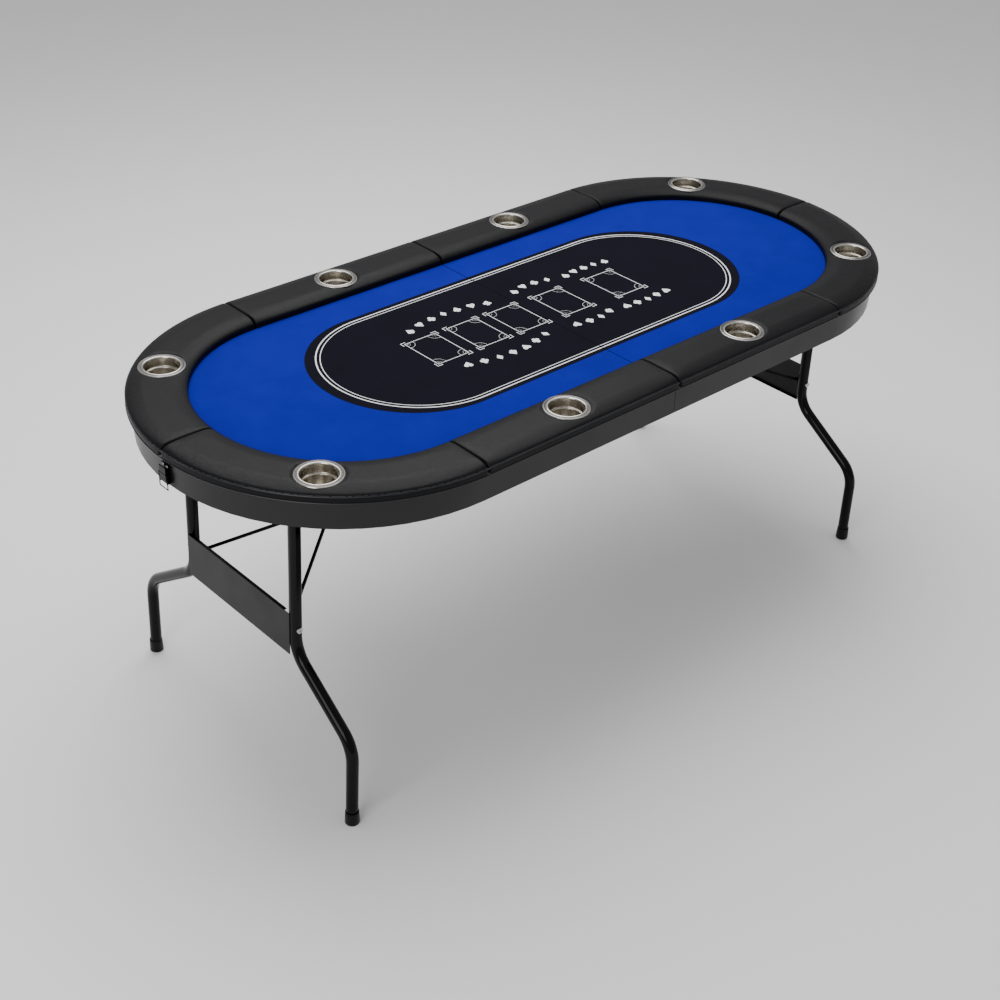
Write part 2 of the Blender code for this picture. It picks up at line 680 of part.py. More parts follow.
def make_link_bracket(hand, side):
    """Clevis under the board round the top of the knee link; its pivot is left open."""
    name = f"{hand}_link_bracket"
    x = side * LINK_TOP_X
    top = BOARD_BOTTOM - CLEAR
    plate = sorted((x + side * 0.017, x - side * (LINK_SLIDE + 0.008)))
    bracket = add_part(name, box_mesh(name, (plate[0], -0.014, top - 0.0015), (plate[1], 0.014, top)),
                       "powder_black")
    for where, sign_y in ROWS:
        cheek = sorted((sign_y * 0.0030, sign_y * 0.0052))
        ends = sorted((x + side * 0.010, x - side * LINK_SLIDE))
        ear = box_mesh(f"{name}_{where}_ear", (ends[0], cheek[0], LINK_TOP_Z - 0.006),
                       (ends[1], cheek[1], top - NUDGE))
        boolean(bracket, add_cutter(ear.name, ear), "UNION")
        stub = rod_mesh(f"{name}_{where}_rivet", (x, sign_y * 0.0040, LINK_TOP_Z),
                        (x, sign_y * 0.0064, LINK_TOP_Z), 0.004, 16)
        boolean(bracket, add_cutter(stub.name, stub), "UNION")


def make_leg_frame(hand, side):
    pivot = empty(f"{hand}_leg_pivot", (side * LEG_X, 0.0, LEG_Z), -side * TILT)
    bpy.context.view_layer.update()
    for where, sign_y in ROWS:
        make_leg_tube(hand, where, sign_y, pivot)
        make_foot_cap(hand, where, sign_y, side, pivot)
        make_brace_bolt(hand, where, sign_y, pivot)
    make_cross_panel(hand, side, pivot)
    make_leg_mounts(hand, side)
    make_v_brace(hand, side)
    make_knee_link(hand, side)
    make_link_bracket(hand, side)


# ---------------------------------------------------------------- latch
def make_latch_base(face, axis_x):
    """Plate on the apron with two ears that hold the lever."""
    low, high = LATCH_BASE_Z
    half = LATCH_WIDE / 2
    base = add_part("latch_base", box_mesh("latch_base", (face - LATCH_SHEET, -half, low), (face, half, high)),
                    "powder_black")
    for where, sign_y in ROWS:
        cheek = sorted((sign_y * (half - LATCH_SHEET), sign_y * (half - NUDGE)))
        ear = box_mesh(f"latch_base_{where}_ear", (axis_x - 0.0030, cheek[0], low + SEAM),
                       (face - 0.0010, cheek[1], LATCH_EAR_TOP))
        boolean(base, add_cutter(ear.name, ear), "UNION")
    bore = rod_mesh("latch_base_bore", (axis_x, -LATCH_WIDE, LATCH_PIVOT_Z),
                    (axis_x, LATCH_WIDE, LATCH_PIVOT_Z), LEVER_PIN + CLEAR, 16)
    boolean(base, add_cutter(bore.name, bore))


def make_latch_lever(axis_x):
    """Lever plate with the barrel it turns on and the boss that carries the loop."""
    pivot = empty("latch_lever_pivot", (axis_x, 0.0, LATCH_PIVOT_Z))
    half = LATCH_WIDE / 2 - LATCH_SHEET - CLEAR
    inset = half - NUDGE
    plate = box_mesh("latch_lever", (-0.0036, -half, -0.0015), (-0.0012, half, LEVER_TALL))
    lever = add_part("latch_lever", plate, "powder_black", pivot)
    barrel = rod_mesh("latch_lever_barrel", (0, -inset, 0), (0, inset, 0), LEVER_BARREL, 16)
    boolean(lever, add_cutter(barrel.name, barrel, pivot), "UNION")
    pin = rod_mesh("latch_lever_pin", (0, -LATCH_WIDE / 2, 0), (0, LATCH_WIDE / 2, 0), LEVER_PIN)
    boolean(lever, add_cutter(pin.name, pin, pivot), "UNION")
    boss = rod_mesh("latch_lever_loop_boss", (-0.0018, -inset, LOOP_UP), (-0.0018, inset, LOOP_UP),
                    LEVER_BARREL, 16)
    boolean(lever, add_cutter(boss.name, boss, pivot), "UNION")
    hole = rod_mesh("latch_lever_loop_hole", (-LOOP_OUT, -LATCH_WIDE, LOOP_UP),
                    (-LOOP_OUT, LATCH_WIDE, LOOP_UP), LOOP_RADIUS + CLEAR * 1.5, 12)
    boolean(lever, add_cutter(hole.name, hole, pivot))


def make_latch_loop(axis_x):
    """Wire loop, both its ends turned into the lever's boss."""
    pivot = empty("latch_loop_pivot", (axis_x - LOOP_OUT, 0.0, LATCH_PIVOT_Z + LOOP_UP))
    tail = LOOP_HALF - 0.0075
    path = [(0, -tail, 0), (0, -LOOP_HALF, 0), (0, -LOOP_HALF, -LOOP_DROP), (0, LOOP_HALF, -LOOP_DROP),
            (0, LOOP_HALF, 0), (0, tail, 0)]
    add_part("latch_loop", tube_mesh("latch_loop", path, LOOP_RADIUS, 8), "powder_black", pivot)


def make_latch_catch():
    """Plate with an upturned hook at the other end of the table."""
    face = LATCH_FACE + CLEAR
    half = LATCH_WIDE / 2
    hook_half = half - 0.003
    catch = add_part("latch_catch", box_mesh("latch_catch", (face, -half, CATCH_Z[0]),
                                             (face + LATCH_SHEET, half, CATCH_Z[1])), "powder_black")
    shelf = box_mesh("latch_catch_hook", (face + 0.0010, -hook_half, HOOK_Z),
                     (face + HOOK_OUT, hook_half, HOOK_Z + 0.0016))
    boolean(catch, add_cutter(shelf.name, shelf), "UNION")
    tip = box_mesh("latch_catch_tip", (face + HOOK_OUT - LATCH_SHEET, -hook_half, HOOK_Z + NUDGE),
                   (face + HOOK_OUT + NUDGE, hook_half, HOOK_Z + 0.0050))
    boolean(catch, add_cutter(tip.name, tip), "UNION")


def make_latch():
    """Draw latch at the left end, and its catch at the right end."""
    face = -LATCH_FACE - CLEAR
    axis_x = face - LATCH_OUT
    make_latch_base(face, axis_x)
    make_latch_lever(axis_x)
    make_latch_loop(axis_x)
    make_latch_catch()


# ---------------------------------------------------------------- build
HALVES = (("left", -1), ("right", 1))
ROWS = (("near", -1), ("far", 1))

clear_scene()
PARTS = collection("folding_card_table")
CUTTERS = collection("cutters")

for hand, side in HALVES:
    make_board(hand, side)
    make_rail_boards(hand, side)
    make_apron(hand, side)
    make_middle_rail(hand, side)
    make_felt(hand, side)
    make_rail(hand, side)
    make_cups(hand, side)
    make_leg_frame(hand, side)
make_fold_hinges()
make_latch()
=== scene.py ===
"""Looks of the folding oval card table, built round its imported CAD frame.

Every piece is in metres in the frame's own space: X along the table, Y across it, Z up.
"""
import json
import math

import bmesh
import bpy
from mathutils import Matrix, Vector, noise


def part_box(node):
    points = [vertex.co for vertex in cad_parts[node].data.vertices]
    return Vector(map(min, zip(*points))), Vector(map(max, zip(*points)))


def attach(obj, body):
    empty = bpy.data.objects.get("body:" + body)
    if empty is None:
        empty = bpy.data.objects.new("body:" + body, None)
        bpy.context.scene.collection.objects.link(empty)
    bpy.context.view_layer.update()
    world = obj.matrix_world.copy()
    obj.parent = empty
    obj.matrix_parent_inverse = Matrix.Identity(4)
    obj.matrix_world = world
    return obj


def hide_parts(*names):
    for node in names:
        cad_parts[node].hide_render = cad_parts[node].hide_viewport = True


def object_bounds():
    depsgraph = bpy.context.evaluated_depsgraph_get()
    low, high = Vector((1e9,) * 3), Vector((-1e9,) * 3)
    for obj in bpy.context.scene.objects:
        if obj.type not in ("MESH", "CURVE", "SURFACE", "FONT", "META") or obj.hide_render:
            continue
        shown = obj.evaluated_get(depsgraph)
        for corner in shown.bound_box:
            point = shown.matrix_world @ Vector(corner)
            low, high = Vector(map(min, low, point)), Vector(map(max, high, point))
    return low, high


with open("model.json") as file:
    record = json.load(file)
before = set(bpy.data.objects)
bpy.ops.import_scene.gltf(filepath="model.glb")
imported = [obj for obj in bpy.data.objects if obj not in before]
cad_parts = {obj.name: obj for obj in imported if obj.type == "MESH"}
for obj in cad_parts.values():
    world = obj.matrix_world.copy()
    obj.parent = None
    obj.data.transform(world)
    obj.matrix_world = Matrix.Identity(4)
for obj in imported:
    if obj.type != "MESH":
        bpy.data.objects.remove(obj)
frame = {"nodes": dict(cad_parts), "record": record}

CAD_LOW, CAD_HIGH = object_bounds()
SIDES = (("left", -1), ("right", 1))
ROWS = (("near", -1), ("far", 1))

# ---------------------------------------------------------------- sizes read from the frame
FELT_LOW, FELT_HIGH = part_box("right_felt")
PAD_LOW, PAD_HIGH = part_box("right_far_side_pad")
CUP_LOW, CUP_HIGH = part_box("right_far_side_cup")
HALF_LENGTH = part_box("right_far_corner_pad")[1].x
HALF_WIDTH = PAD_HIGH.y
ARC_X = HALF_LENGTH - HALF_WIDTH
SEAM = FELT_LOW.x
FELT_TOP = FELT_HIGH.z
FELT_RADIUS = FELT_HIGH.y
RAIL_BOTTOM = PAD_LOW.z
RAIL_TOP = PAD_HIGH.z
RAIL_WIDTH = PAD_HIGH.y - PAD_LOW.y
RAIL_BAND = 0.0142           # height of the upright outer face of the rail
RAIL_FULLNESS = 6            # power of the crown: higher is a flatter top with fuller edges
CUP_FLANGE = (CUP_HIGH.x - CUP_LOW.x) / 2
CUP_MOUTH_INSET = 0.0106     # from the flange's edge in to the mouth
CUP_HOLE = 0.0385            # radius of the hole in the pad
CUP_SINK = 0.0026            # the pad's top dips this far below the flange round a cup
CUP_DIP_REACH = 0.051        # and rises again to its own height this far from the cup's middle
END_GAP = 0.0002             # from a pad's end to the end of its side or corner
TUCK_REACH = 0.004           # how far from its sewn end a pad is drawn in
TUCK_DOWN = 0.0020
TUCK_IN = 0.0007
SWELL_LIMIT = 0.0012         # the most that the foam moves the cover
SWELL_STEPS = 20

# ---------------------------------------------------------------- shop helpers


def linear(code):
    """An sRGB hex colour as linear RGBA."""
    values = [int(code[i:i + 2], 16) / 255 for i in (1, 3, 5)]
    return tuple(v / 12.92 if v <= 0.04045 else ((v + 0.055) / 1.055) ** 2.4 for v in values) + (1.0,)


def put(tree, kind, inputs=None, **settings):
    """Adds a node with its settings, its values and its links."""
    made = tree.nodes.new(kind)
    for key, value in settings.items():
        setattr(made, key, value)
    for key, value in (inputs or {}).items():
        if isinstance(value, bpy.types.NodeSocket):
            tree.links.new(value, made.inputs[key])
        else:
            made.inputs[key].default_value = value
    return made


def new_material(name, **values):
    """A Principled material; values set its sockets, with underscores for spaces."""
    made = bpy.data.materials.new(name)
    made.use_nodes = True
    shader = made.node_tree.nodes["Principled BSDF"]
    for key, value in values.items():
        shader.inputs[key.replace("_", " ")].default_value = value
    return made, made.node_tree, shader


def object_space(tree):
    return put(tree, "ShaderNodeTexCoord").outputs["Object"]


def finish(bm, name, material, smooth_angle=40):
    """Turns a bmesh into an object of the scene, faces outwards, shaded by angle."""
    bmesh.ops.remove_doubles(bm, verts=bm.verts, dist=0.00001)
    bmesh.ops.recalc_face_normals(bm, faces=bm.faces)
    mesh = bpy.data.meshes.new(name)
    bm.to_mesh(mesh)
    bm.free()
    mesh.shade_smooth()
    mesh.set_sharp_from_angle(angle=math.radians(smooth_angle))
    mesh.materials.append(material)
    made = bpy.data.objects.new(name, mesh)
    bpy.context.scene.collection.objects.link(made)
    return made


def settle(obj):
    """Applies every modifier on an object."""
    bpy.context.view_layer.update()
    shape = bpy.data.meshes.new_from_object(obj.evaluated_get(bpy.context.evaluated_depsgraph_get()))
    obj.modifiers.clear()
    obj.data = shape


def punch_out(obj, punch):
    """Cuts one solid out of another and throws the cutter away."""
    cut = obj.modifiers.new("cut", "BOOLEAN")
    cut.object = punch
    settle(obj)
    bpy.data.objects.remove(punch, do_unlink=True)


def fit_to(obj, body, slot_name, *nodes):
    """A finished piece: what it moves with, the finish it takes (not used), the solids it stands for."""
    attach(obj, body)
    if nodes:
        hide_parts(*nodes)


def wire(name, points, radius, material, sides=8, cyclic=False):
    """A round wire through points, as a mesh."""
    curve = bpy.data.curves.new(name, "CURVE")
    curve.dimensions = "3D"
    curve.bevel_depth = radius
    curve.bevel_resolution = max(0, sides // 4 - 1)
    curve.use_fill_caps = not cyclic
    for line in points:
        spline = curve.splines.new("POLY")
        spline.points.add(len(line) - 1)
        for point, place in zip(spline.points, line):
            point.co = (*place, 1.0)
        spline.use_cyclic_u = cyclic
    guide = bpy.data.objects.new(name, curve)
    bpy.context.scene.collection.objects.link(guide)
    bpy.context.view_layer.update()
    solid = bpy.data.meshes.new_from_object(guide.evaluated_get(bpy.context.evaluated_depsgraph_get()))
    bpy.data.objects.remove(guide, do_unlink=True)
    bm = bmesh.new()
    bm.from_mesh(solid)
    return finish(bm, name, material)


def end_arc(radius, side, steps, centre_x=None):
    """Points of the round end at this radius, from the -Y side round to the +Y side."""
    middle = ARC_X if centre_x is None else centre_x
    angles = [-math.pi / 2 + math.pi * step / steps for step in range(steps + 1)]
    return [(side * (middle + radius * math.cos(a)), radius * math.sin(a)) for a in angles]


def half_outline(radius, side, start, steps=96, centre_x=None):
    """Half of an oval, closed along a line near the middle seam."""
    arc = end_arc(radius, side, steps, centre_x)
    return [(side * start, -radius)] + arc + [(side * start, radius)]


# ---------------------------------------------------------------- materials


def leatherette():
    """PVC leatherette with a pressed pebble grain: dark, with a soft satin sheen on its crowns.

    The real pebble is about 1 mm; it is rendered 2.4 mm so that it shows.
    """
    made, tree, shader = new_material("pvc_leatherette_pebble_grain", Specular_IOR_Level=0.13, IOR=1.5)
    place = object_space(tree)
    pebble = put(tree, "ShaderNodeTexVoronoi", {"Vector": place, "Scale": 1 / 0.0024, "Randomness": 0.9},
                 feature="SMOOTH_F1")
    creases = put(tree, "ShaderNodeTexNoise", {"Vector": place, "Scale": 1 / 0.009, "Detail": 6.0,
                                               "Roughness": 0.6, "Distortion": 0.6})
    broad = put(tree, "ShaderNodeTexNoise", {"Vector": place, "Scale": 1 / 0.16, "Detail": 3.0})
    tint = put(tree, "ShaderNodeMix", {0: broad.outputs[0], 6: linear("#060608"), 7: linear("#0b0b0e")},
               data_type="RGBA")
    worn = put(tree, "ShaderNodeMapRange", {"Value": creases.outputs[0], "From Min": 0.35, "From Max": 0.75,
                                            "To Min": 0.0, "To Max": 0.3})
    shade = put(tree, "ShaderNodeMix", {0: worn.outputs[0], 6: tint.outputs[2], 7: linear("#131317")},
                data_type="RGBA")
    gloss = put(tree, "ShaderNodeMapRange", {"Value": creases.outputs[0], "From Min": 0.3, "From Max": 0.7,
                                             "To Min": 0.38, "To Max": 0.48})
    fine = put(tree, "ShaderNodeBump", {"Height": pebble.outputs["Distance"], "Strength": 0.35,
                                        "Distance": 0.0006})
    coarse = put(tree, "ShaderNodeBump", {"Height": creases.outputs[0], "Strength": 0.06, "Distance": 0.0008,
                                          "Normal": fine.outputs[0]})
    tree.links.new(shade.outputs[2], shader.inputs["Base Color"])
    tree.links.new(gloss.outputs[0], shader.inputs["Roughness"])
    tree.links.new(coarse.outputs[0], shader.inputs["Normal"])
    return made


def brushed_cloth(name, deep, light, sheen_color):
    """Brushed polyester playing cloth: matt, with a short nap and a faint mottle of its lay.

    Fibres are about 0.1 mm; the nap is rendered 0.9 mm so that it shows.
    """
    made, tree, shader = new_material(name, Roughness=0.95, Specular_IOR_Level=0.12, Sheen_Weight=0.05,
                                      Sheen_Roughness=0.5, Sheen_Tint=linear(sheen_color))
    place = object_space(tree)
    nap = put(tree, "ShaderNodeTexNoise", {"Vector": place, "Scale": 1 / 0.0009, "Detail": 3.0})
    lay = put(tree, "ShaderNodeTexNoise", {"Vector": place, "Scale": 1 / 0.07, "Detail": 4.0,
                                           "Roughness": 0.55})
    both = put(tree, "ShaderNodeMath", {0: nap.outputs[0], 1: lay.outputs[0]}, operation="ADD")
    part = put(tree, "ShaderNodeMapRange", {"Value": both.outputs[0], "From Min": 0.7, "From Max": 1.3})
    shade = put(tree, "ShaderNodeMix", {0: part.outputs[0], 6: linear(deep), 7: linear(light)},
                data_type="RGBA")
    fuzz = put(tree, "ShaderNodeBump", {"Height": nap.outputs[0], "Strength": 0.35, "Distance": 0.0005})
    tree.links.new(shade.outputs[2], shader.inputs["Base Color"])
    tree.links.new(fuzz.outputs[0], shader.inputs["Normal"])
    return made


def coated(name, dark, light, rough_low, rough_high, peel_mm, peel_depth, gleam=0.35):
    """A sprayed or rolled black finish: an even colour with a faint orange-peel surface."""
    made, tree, shader = new_material(name, IOR=1.5, Specular_IOR_Level=gleam)
    place = object_space(tree)
    peel = put(tree, "ShaderNodeTexNoise", {"Vector": place, "Scale": 1000 / peel_mm, "Detail": 2.0})
    broad = put(tree, "ShaderNodeTexNoise", {"Vector": place, "Scale": 12.0, "Detail": 4.0})
    shade = put(tree, "ShaderNodeMix", {0: broad.outputs[0], 6: linear(dark), 7: linear(light)},
                data_type="RGBA")
    gloss = put(tree, "ShaderNodeMapRange", {"Value": broad.outputs[0], "From Min": 0.3, "From Max": 0.7,
                                             "To Min": rough_low, "To Max": rough_high})
    bump = put(tree, "ShaderNodeBump", {"Height": peel.outputs[0], "Strength": 0.2, "Distance": peel_depth})
    tree.links.new(shade.outputs[2], shader.inputs["Base Color"])
    tree.links.new(gloss.outputs[0], shader.inputs["Roughness"])
    tree.links.new(bump.outputs[0], shader.inputs["Normal"])
    return made


def spun_stainless():
    """Stainless steel pressed and spun on a lathe: rings round the axis in colour and gloss.

    Inside the mouth the colour is darker, ramping over the first 6 mm down and staying darker to the floor:
    painted shade inside the cup. The flange has a stippled band round it. The stipple is about 0.4 mm; it is
    rendered 1.6 mm so that it shows.
    """
    made, tree, shader = new_material("spun_stainless_steel", Metallic=1.0)
    turned = put(tree, "ShaderNodeAttribute", attribute_name="turned").outputs["Vector"]
    rings = put(tree, "ShaderNodeTexNoise", {"Vector": turned, "Scale": 1 / 0.0011, "Detail": 3.0})
    place = object_space(tree)
    smudge = put(tree, "ShaderNodeTexNoise", {"Vector": place, "Scale": 60.0, "Detail": 3.0})
    bright = put(tree, "ShaderNodeMix", {0: rings.outputs[0], 6: linear("#b9b6b0"), 7: linear("#d2cfca")},
                 data_type="RGBA")
    stipple = put(tree, "ShaderNodeTexNoise", {"Vector": place, "Scale": 1 / 0.0016, "Detail": 1.0})
    pitted = put(tree, "ShaderNodeMix", {0: stipple.outputs[0], 6: linear("#1a1918"), 7: linear("#8e8c89")},
                 data_type="RGBA")
    band = put(tree, "ShaderNodeAttribute", attribute_name="band").outputs["Fac"]
    flange = put(tree, "ShaderNodeMix", {0: band, 6: bright.outputs[2], 7: pitted.outputs[2]},
                 data_type="RGBA")
    # painted shade inside the cup: below the mouth the steel colour is mixed darker with depth
    painted_inside_shade = put(tree, "ShaderNodeAttribute", attribute_name="painted_inside_shade").outputs["Fac"]
    shade = put(tree, "ShaderNodeMix", {0: painted_inside_shade, 6: flange.outputs[2], 7: linear("#aaa59b")},
                data_type="RGBA")
    smooth = put(tree, "ShaderNodeMapRange", {"Value": smudge.outputs[0], "From Min": 0.3, "From Max": 0.7,
                                              "To Min": 0.20, "To Max": 0.22})
    gloss = put(tree, "ShaderNodeMath", {0: band, 1: 0.25, 2: smooth.outputs[0]}, operation="MULTIPLY_ADD")
    bump = put(tree, "ShaderNodeBump", {"Height": rings.outputs[0], "Strength": 0.06, "Distance": 0.0002})
    tree.links.new(shade.outputs[2], shader.inputs["Base Color"])
    tree.links.new(gloss.outputs[0], shader.inputs["Roughness"])
    tree.links.new(bump.outputs[0], shader.inputs["Normal"])
    return made


def zinc_plate():
    """Bright zinc plate on small steel hardware: pale grey with a fine crystalline mottle."""
    made, tree, shader = new_material("bright_zinc_plate", Metallic=1.0)
    place = object_space(tree)
    spangle = put(tree, "ShaderNodeTexNoise", {"Vector": place, "Scale": 1 / 0.0015, "Detail": 2.0})
    shade = put(tree, "ShaderNodeMix", {0: spangle.outputs[0], 6: linear("#a9abae"), 7: linear("#d6d8da")},
                data_type="RGBA")
    gloss = put(tree, "ShaderNodeMapRange", {"Value": spangle.outputs[0], "To Min": 0.22, "To Max": 0.42})
    tree.links.new(shade.outputs[2], shader.inputs["Base Color"])
    tree.links.new(gloss.outputs[0], shader.inputs["Roughness"])
    return made


def stained_board():
    """Fibreboard stained near black on its underside: matt, with pressed fibres 2 to 6 mm long."""
    made, tree, shader = new_material("stained_fibreboard", Specular_IOR_Level=0.3)
    place = object_space(tree)
    stretched = put(tree, "ShaderNodeMapping", {"Vector": place, "Scale": (1.0, 2.4, 1.0)})
    fibres = put(tree, "ShaderNodeTexNoise", {"Vector": stretched.outputs[0], "Scale": 1 / 0.004,
                                              "Detail": 5.0})
    shade = put(tree, "ShaderNodeMix", {0: fibres.outputs[0], 6: linear("#1a1714"), 7: linear("#37302a")},
                data_type="RGBA")
    gloss = put(tree, "ShaderNodeMapRange", {"Value": fibres.outputs[0], "To Min": 0.7, "To Max": 0.9})
    bump = put(tree, "ShaderNodeBump", {"Height": fibres.outputs[0], "Strength": 0.3, "Distance": 0.0004})
    tree.links.new(shade.outputs[2], shader.inputs["Base Color"])
    tree.links.new(gloss.outputs[0], shader.inputs["Roughness"])
    tree.links.new(bump.outputs[0], shader.inputs["Normal"])
    return made


LEATHER = leatherette()
BLUE_CLOTH = brushed_cloth("brushed_playing_cloth_blue", "#071180", "#0a178e", "#3a4ae0")
BLACK_PRINT = brushed_cloth("dye_printed_cloth_midnight", "#04030f", "#080716", "#30303c")
WHITE_PRINT = brushed_cloth("dye_printed_cloth_white", "#e6e6ec", "#fafafc", "#ffffff")
LAMINATE = coated("satin_black_laminate", "#050505", "#0a0a0a", 0.30, 0.40, 1.6, 0.0002)
GLOSS_COAT = coated("powder_coat_gloss_black", "#010102", "#030304", 0.08, 0.13, 1.4, 0.0001, 0.16)
SATIN_COAT = coated("powder_coat_satin_black", "#030304", "#070708", 0.32, 0.42, 1.2, 0.0002, 0.22)
MOULDED = coated("moulded_polyethylene_black", "#030303", "#060606", 0.30, 0.40, 0.8, 0.0002, 0.22)
VINYL_BEAD = coated("vinyl_welt_charcoal", "#17181b", "#26272b", 0.30, 0.42, 0.8, 0.0001)
THREAD = coated("polyester_thread_grey", "#3f4045", "#595b61", 0.6, 0.7, 0.5, 0.0001)
STAINLESS = spun_stainless()
ZINC = zinc_plate()
STAINED = stained_board()


# ---------------------------------------------------------------- rail pads


class Pad:
    """Where one rail pad lies: its half, its long side and whether it turns the corner."""

    def __init__(self, node):
        self.node = node
        self.side = -1 if node.startswith("left") else 1
        self.sign_y = -1 if "_near_" in node else 1
        self.corner = node.endswith("corner_pad")
        self.cup = node.replace("_pad", "_cup")
        low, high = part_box(self.cup)
        self.cup_centre = (low + high) / 2

    def along(self, co):
        """Distance to the nearer end of the pad, and in from its outer edge."""
        if self.corner:
            x = abs(co.x) - ARC_X
            angle = math.atan2(abs(co.y), x)
            reach = HALF_WIDTH - RAIL_WIDTH / 2
            near_end = min(angle, math.pi / 2 - angle) * reach
            return near_end, HALF_WIDTH - math.hypot(x, co.y)
        ends = (abs(co.x) - SEAM, ARC_X - abs(co.x))
        return min(ends), HALF_WIDTH - abs(co.y)


def rail_section():
    """Cross-section of the rail, closed: (inset, height) from its foot round over the crown."""
    points = [(RAIL_WIDTH * (1 - step / 6), RAIL_BOTTOM) for step in range(6)]
    points += [(0.0, RAIL_BOTTOM + RAIL_BAND * step / 4) for step in range(4)]
    steps = 28
    for step in range(steps + 1):
        across = math.cos(math.pi * step / steps) * 0.5 + (1 - 2 * step / steps) * 0.5
        drop = (RAIL_TOP - RAIL_BOTTOM - RAIL_BAND) * abs(across) ** RAIL_FULLNESS
        points.append((RAIL_WIDTH * (1 - across) / 2, RAIL_TOP - drop))
    points += [(RAIL_WIDTH, RAIL_BOTTOM + RAIL_BAND * (1 - step / 4)) for step in (1, 2, 3)]
    return points


def rough_pad(pad):
    """The pad before it is stuffed: the section swept along the side or round the corner."""
    bm = bmesh.new()
    if pad.corner:
        trim = END_GAP / HALF_WIDTH
        start = math.pi / 2 - trim
        steps = 128
        ring = [bm.verts.new((pad.side * (ARC_X + (HALF_WIDTH - inset) * math.cos(start)),
                              pad.sign_y * (HALF_WIDTH - inset) * math.sin(start), height))
                for inset, height in rail_section()]
        face = bm.faces.new(ring)
        bmesh.ops.spin(bm, geom=[face], cent=(pad.side * ARC_X, 0.0, 0.0), axis=(0.0, 0.0, 1.0),
                       angle=-(start - trim) * pad.side * pad.sign_y, steps=steps)
    else:
        steps = 112
        near = pad.side * SEAM
        stride = (pad.side * (ARC_X - END_GAP) - near) / steps
        ring = [bm.verts.new((near, pad.sign_y * (HALF_WIDTH - inset), height))
                for inset, height in rail_section()]
        face = bm.faces.new(ring)
        bmesh.ops.spin(bm, geom=[face], cent=(0.0, 0.0, 0.0), axis=(0.0, 0.0, 1.0), angle=0.0,
                       dvec=(stride, 0.0, 0.0), steps=steps)
    bmesh.ops.holes_fill(bm, edges=bm.edges, sides=0)
    return finish(bm, pad.node.replace("_pad", "_cushion"), LEATHER, 60)


def tuck_ends(obj, pad):
    """Pulls the cover in and down where it is sewn at each end."""
    for vert in obj.data.vertices:
        distance, inset = pad.along(vert.co)
        pull = max(0.0, 1 - distance / TUCK_REACH) ** 2
        lift = (vert.co.z - RAIL_BOTTOM) / (RAIL_TOP - RAIL_BOTTOM)
        vert.co.z -= TUCK_DOWN * pull * lift
        if inset < 0.004:
            inward = TUCK_IN * pull * lift
            outward = Vector((vert.co.x - pad.side * ARC_X, vert.co.y, 0)) if pad.corner \
                else Vector((0, vert.co.y, 0))
            vert.co -= outward.normalized() * inward


def stuff(pads):
    """Foam pressing the sewn covers out: cloth held at its foot, its band and its ends."""
    rest = {}
    for obj, pad in pads:
        held = obj.vertex_groups.new(name="held")
        rest[obj.name] = [vert.co.copy() for vert in obj.data.vertices]
        for vert in obj.data.vertices:
            distance, inset = pad.along(vert.co)
            free = (0.006 < inset < RAIL_WIDTH - 0.004 and distance > 0.005
                    and vert.co.z > RAIL_BOTTOM + RAIL_BAND * 0.7)
            if not free:
                held.add([vert.index], 1.0, "REPLACE")
        foam = obj.modifiers.new("foam", "CLOTH")
        foam.settings.vertex_group_mass = "held"
        foam.settings.use_pressure = True
        foam.settings.uniform_pressure_force = 3.0
        foam.settings.quality = 4
        foam.settings.mass = 0.3
        foam.settings.tension_stiffness = 12.0
        foam.settings.compression_stiffness = 12.0
        foam.settings.bending_stiffness = 0.6
        foam.settings.effector_weights.gravity = 0.0
        foam.point_cache.frame_start = 1
        foam.point_cache.frame_end = SWELL_STEPS
    for step in range(1, SWELL_STEPS + 1):
        bpy.context.scene.frame_set(step)
    graph = bpy.context.evaluated_depsgraph_get()
    for obj, _ in pads:
        swollen = obj.evaluated_get(graph).data
        moves = [(vert.co - start) for vert, start in zip(swollen.vertices, rest[obj.name])]
        for vert, start, move in zip(obj.data.vertices, rest[obj.name], moves):
            if move.length > SWELL_LIMIT:
                move = move * (SWELL_LIMIT / move.length)
            vert.co = start + move
        obj.modifiers.clear()
        obj.vertex_groups.clear()
    bpy.context.scene.frame_set(1)


def gather(obj, pad):
    """Small puckers by the sewn ends, the soft unevenness of foam, and the cup's seat."""
    centre = pad.cup_centre
    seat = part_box(pad.cup)[1].z - CUP_SINK
    for vert in obj.data.vertices:
        distance, inset = pad.along(vert.co)
        if vert.co.z < RAIL_BOTTOM + RAIL_BAND * 0.8 or not 0.002 < inset < RAIL_WIDTH - 0.002:
            continue
        crown = math.sin(math.pi * inset / RAIL_WIDTH)
        fold = noise.noise(Vector((inset * 95, distance * 18, pad.side * 3.1)))
        pucker = math.exp(-distance / 0.018) * fold
        uneven = noise.noise(vert.co * 14) * 0.0005 + noise.noise(vert.co * 60) * 0.00008
        vert.co.z += crown * (uneven + 0.0004 * pucker)
        reach = math.hypot(vert.co.x - centre.x, vert.co.y - centre.y)
        blend = min(1.0, max(0.0, (CUP_DIP_REACH - reach) / (CUP_DIP_REACH - CUP_FLANGE)))
        blend = blend * blend * (3 - 2 * blend)
        sunk = min(vert.co.z, seat)
        vert.co.z += (sunk - vert.co.z) * blend


def cut_cup_hole(obj, pad):
    """Opens the pad for its cup."""
    bm = bmesh.new()
    place = Matrix.Translation((pad.cup_centre.x, pad.cup_centre.y, RAIL_BOTTOM))
    bmesh.ops.create_cone(bm, cap_ends=True, segments=64, radius1=CUP_HOLE, radius2=CUP_HOLE, depth=0.08,
                          matrix=place)
    punch_out(obj, finish(bm, "punch", LEATHER))


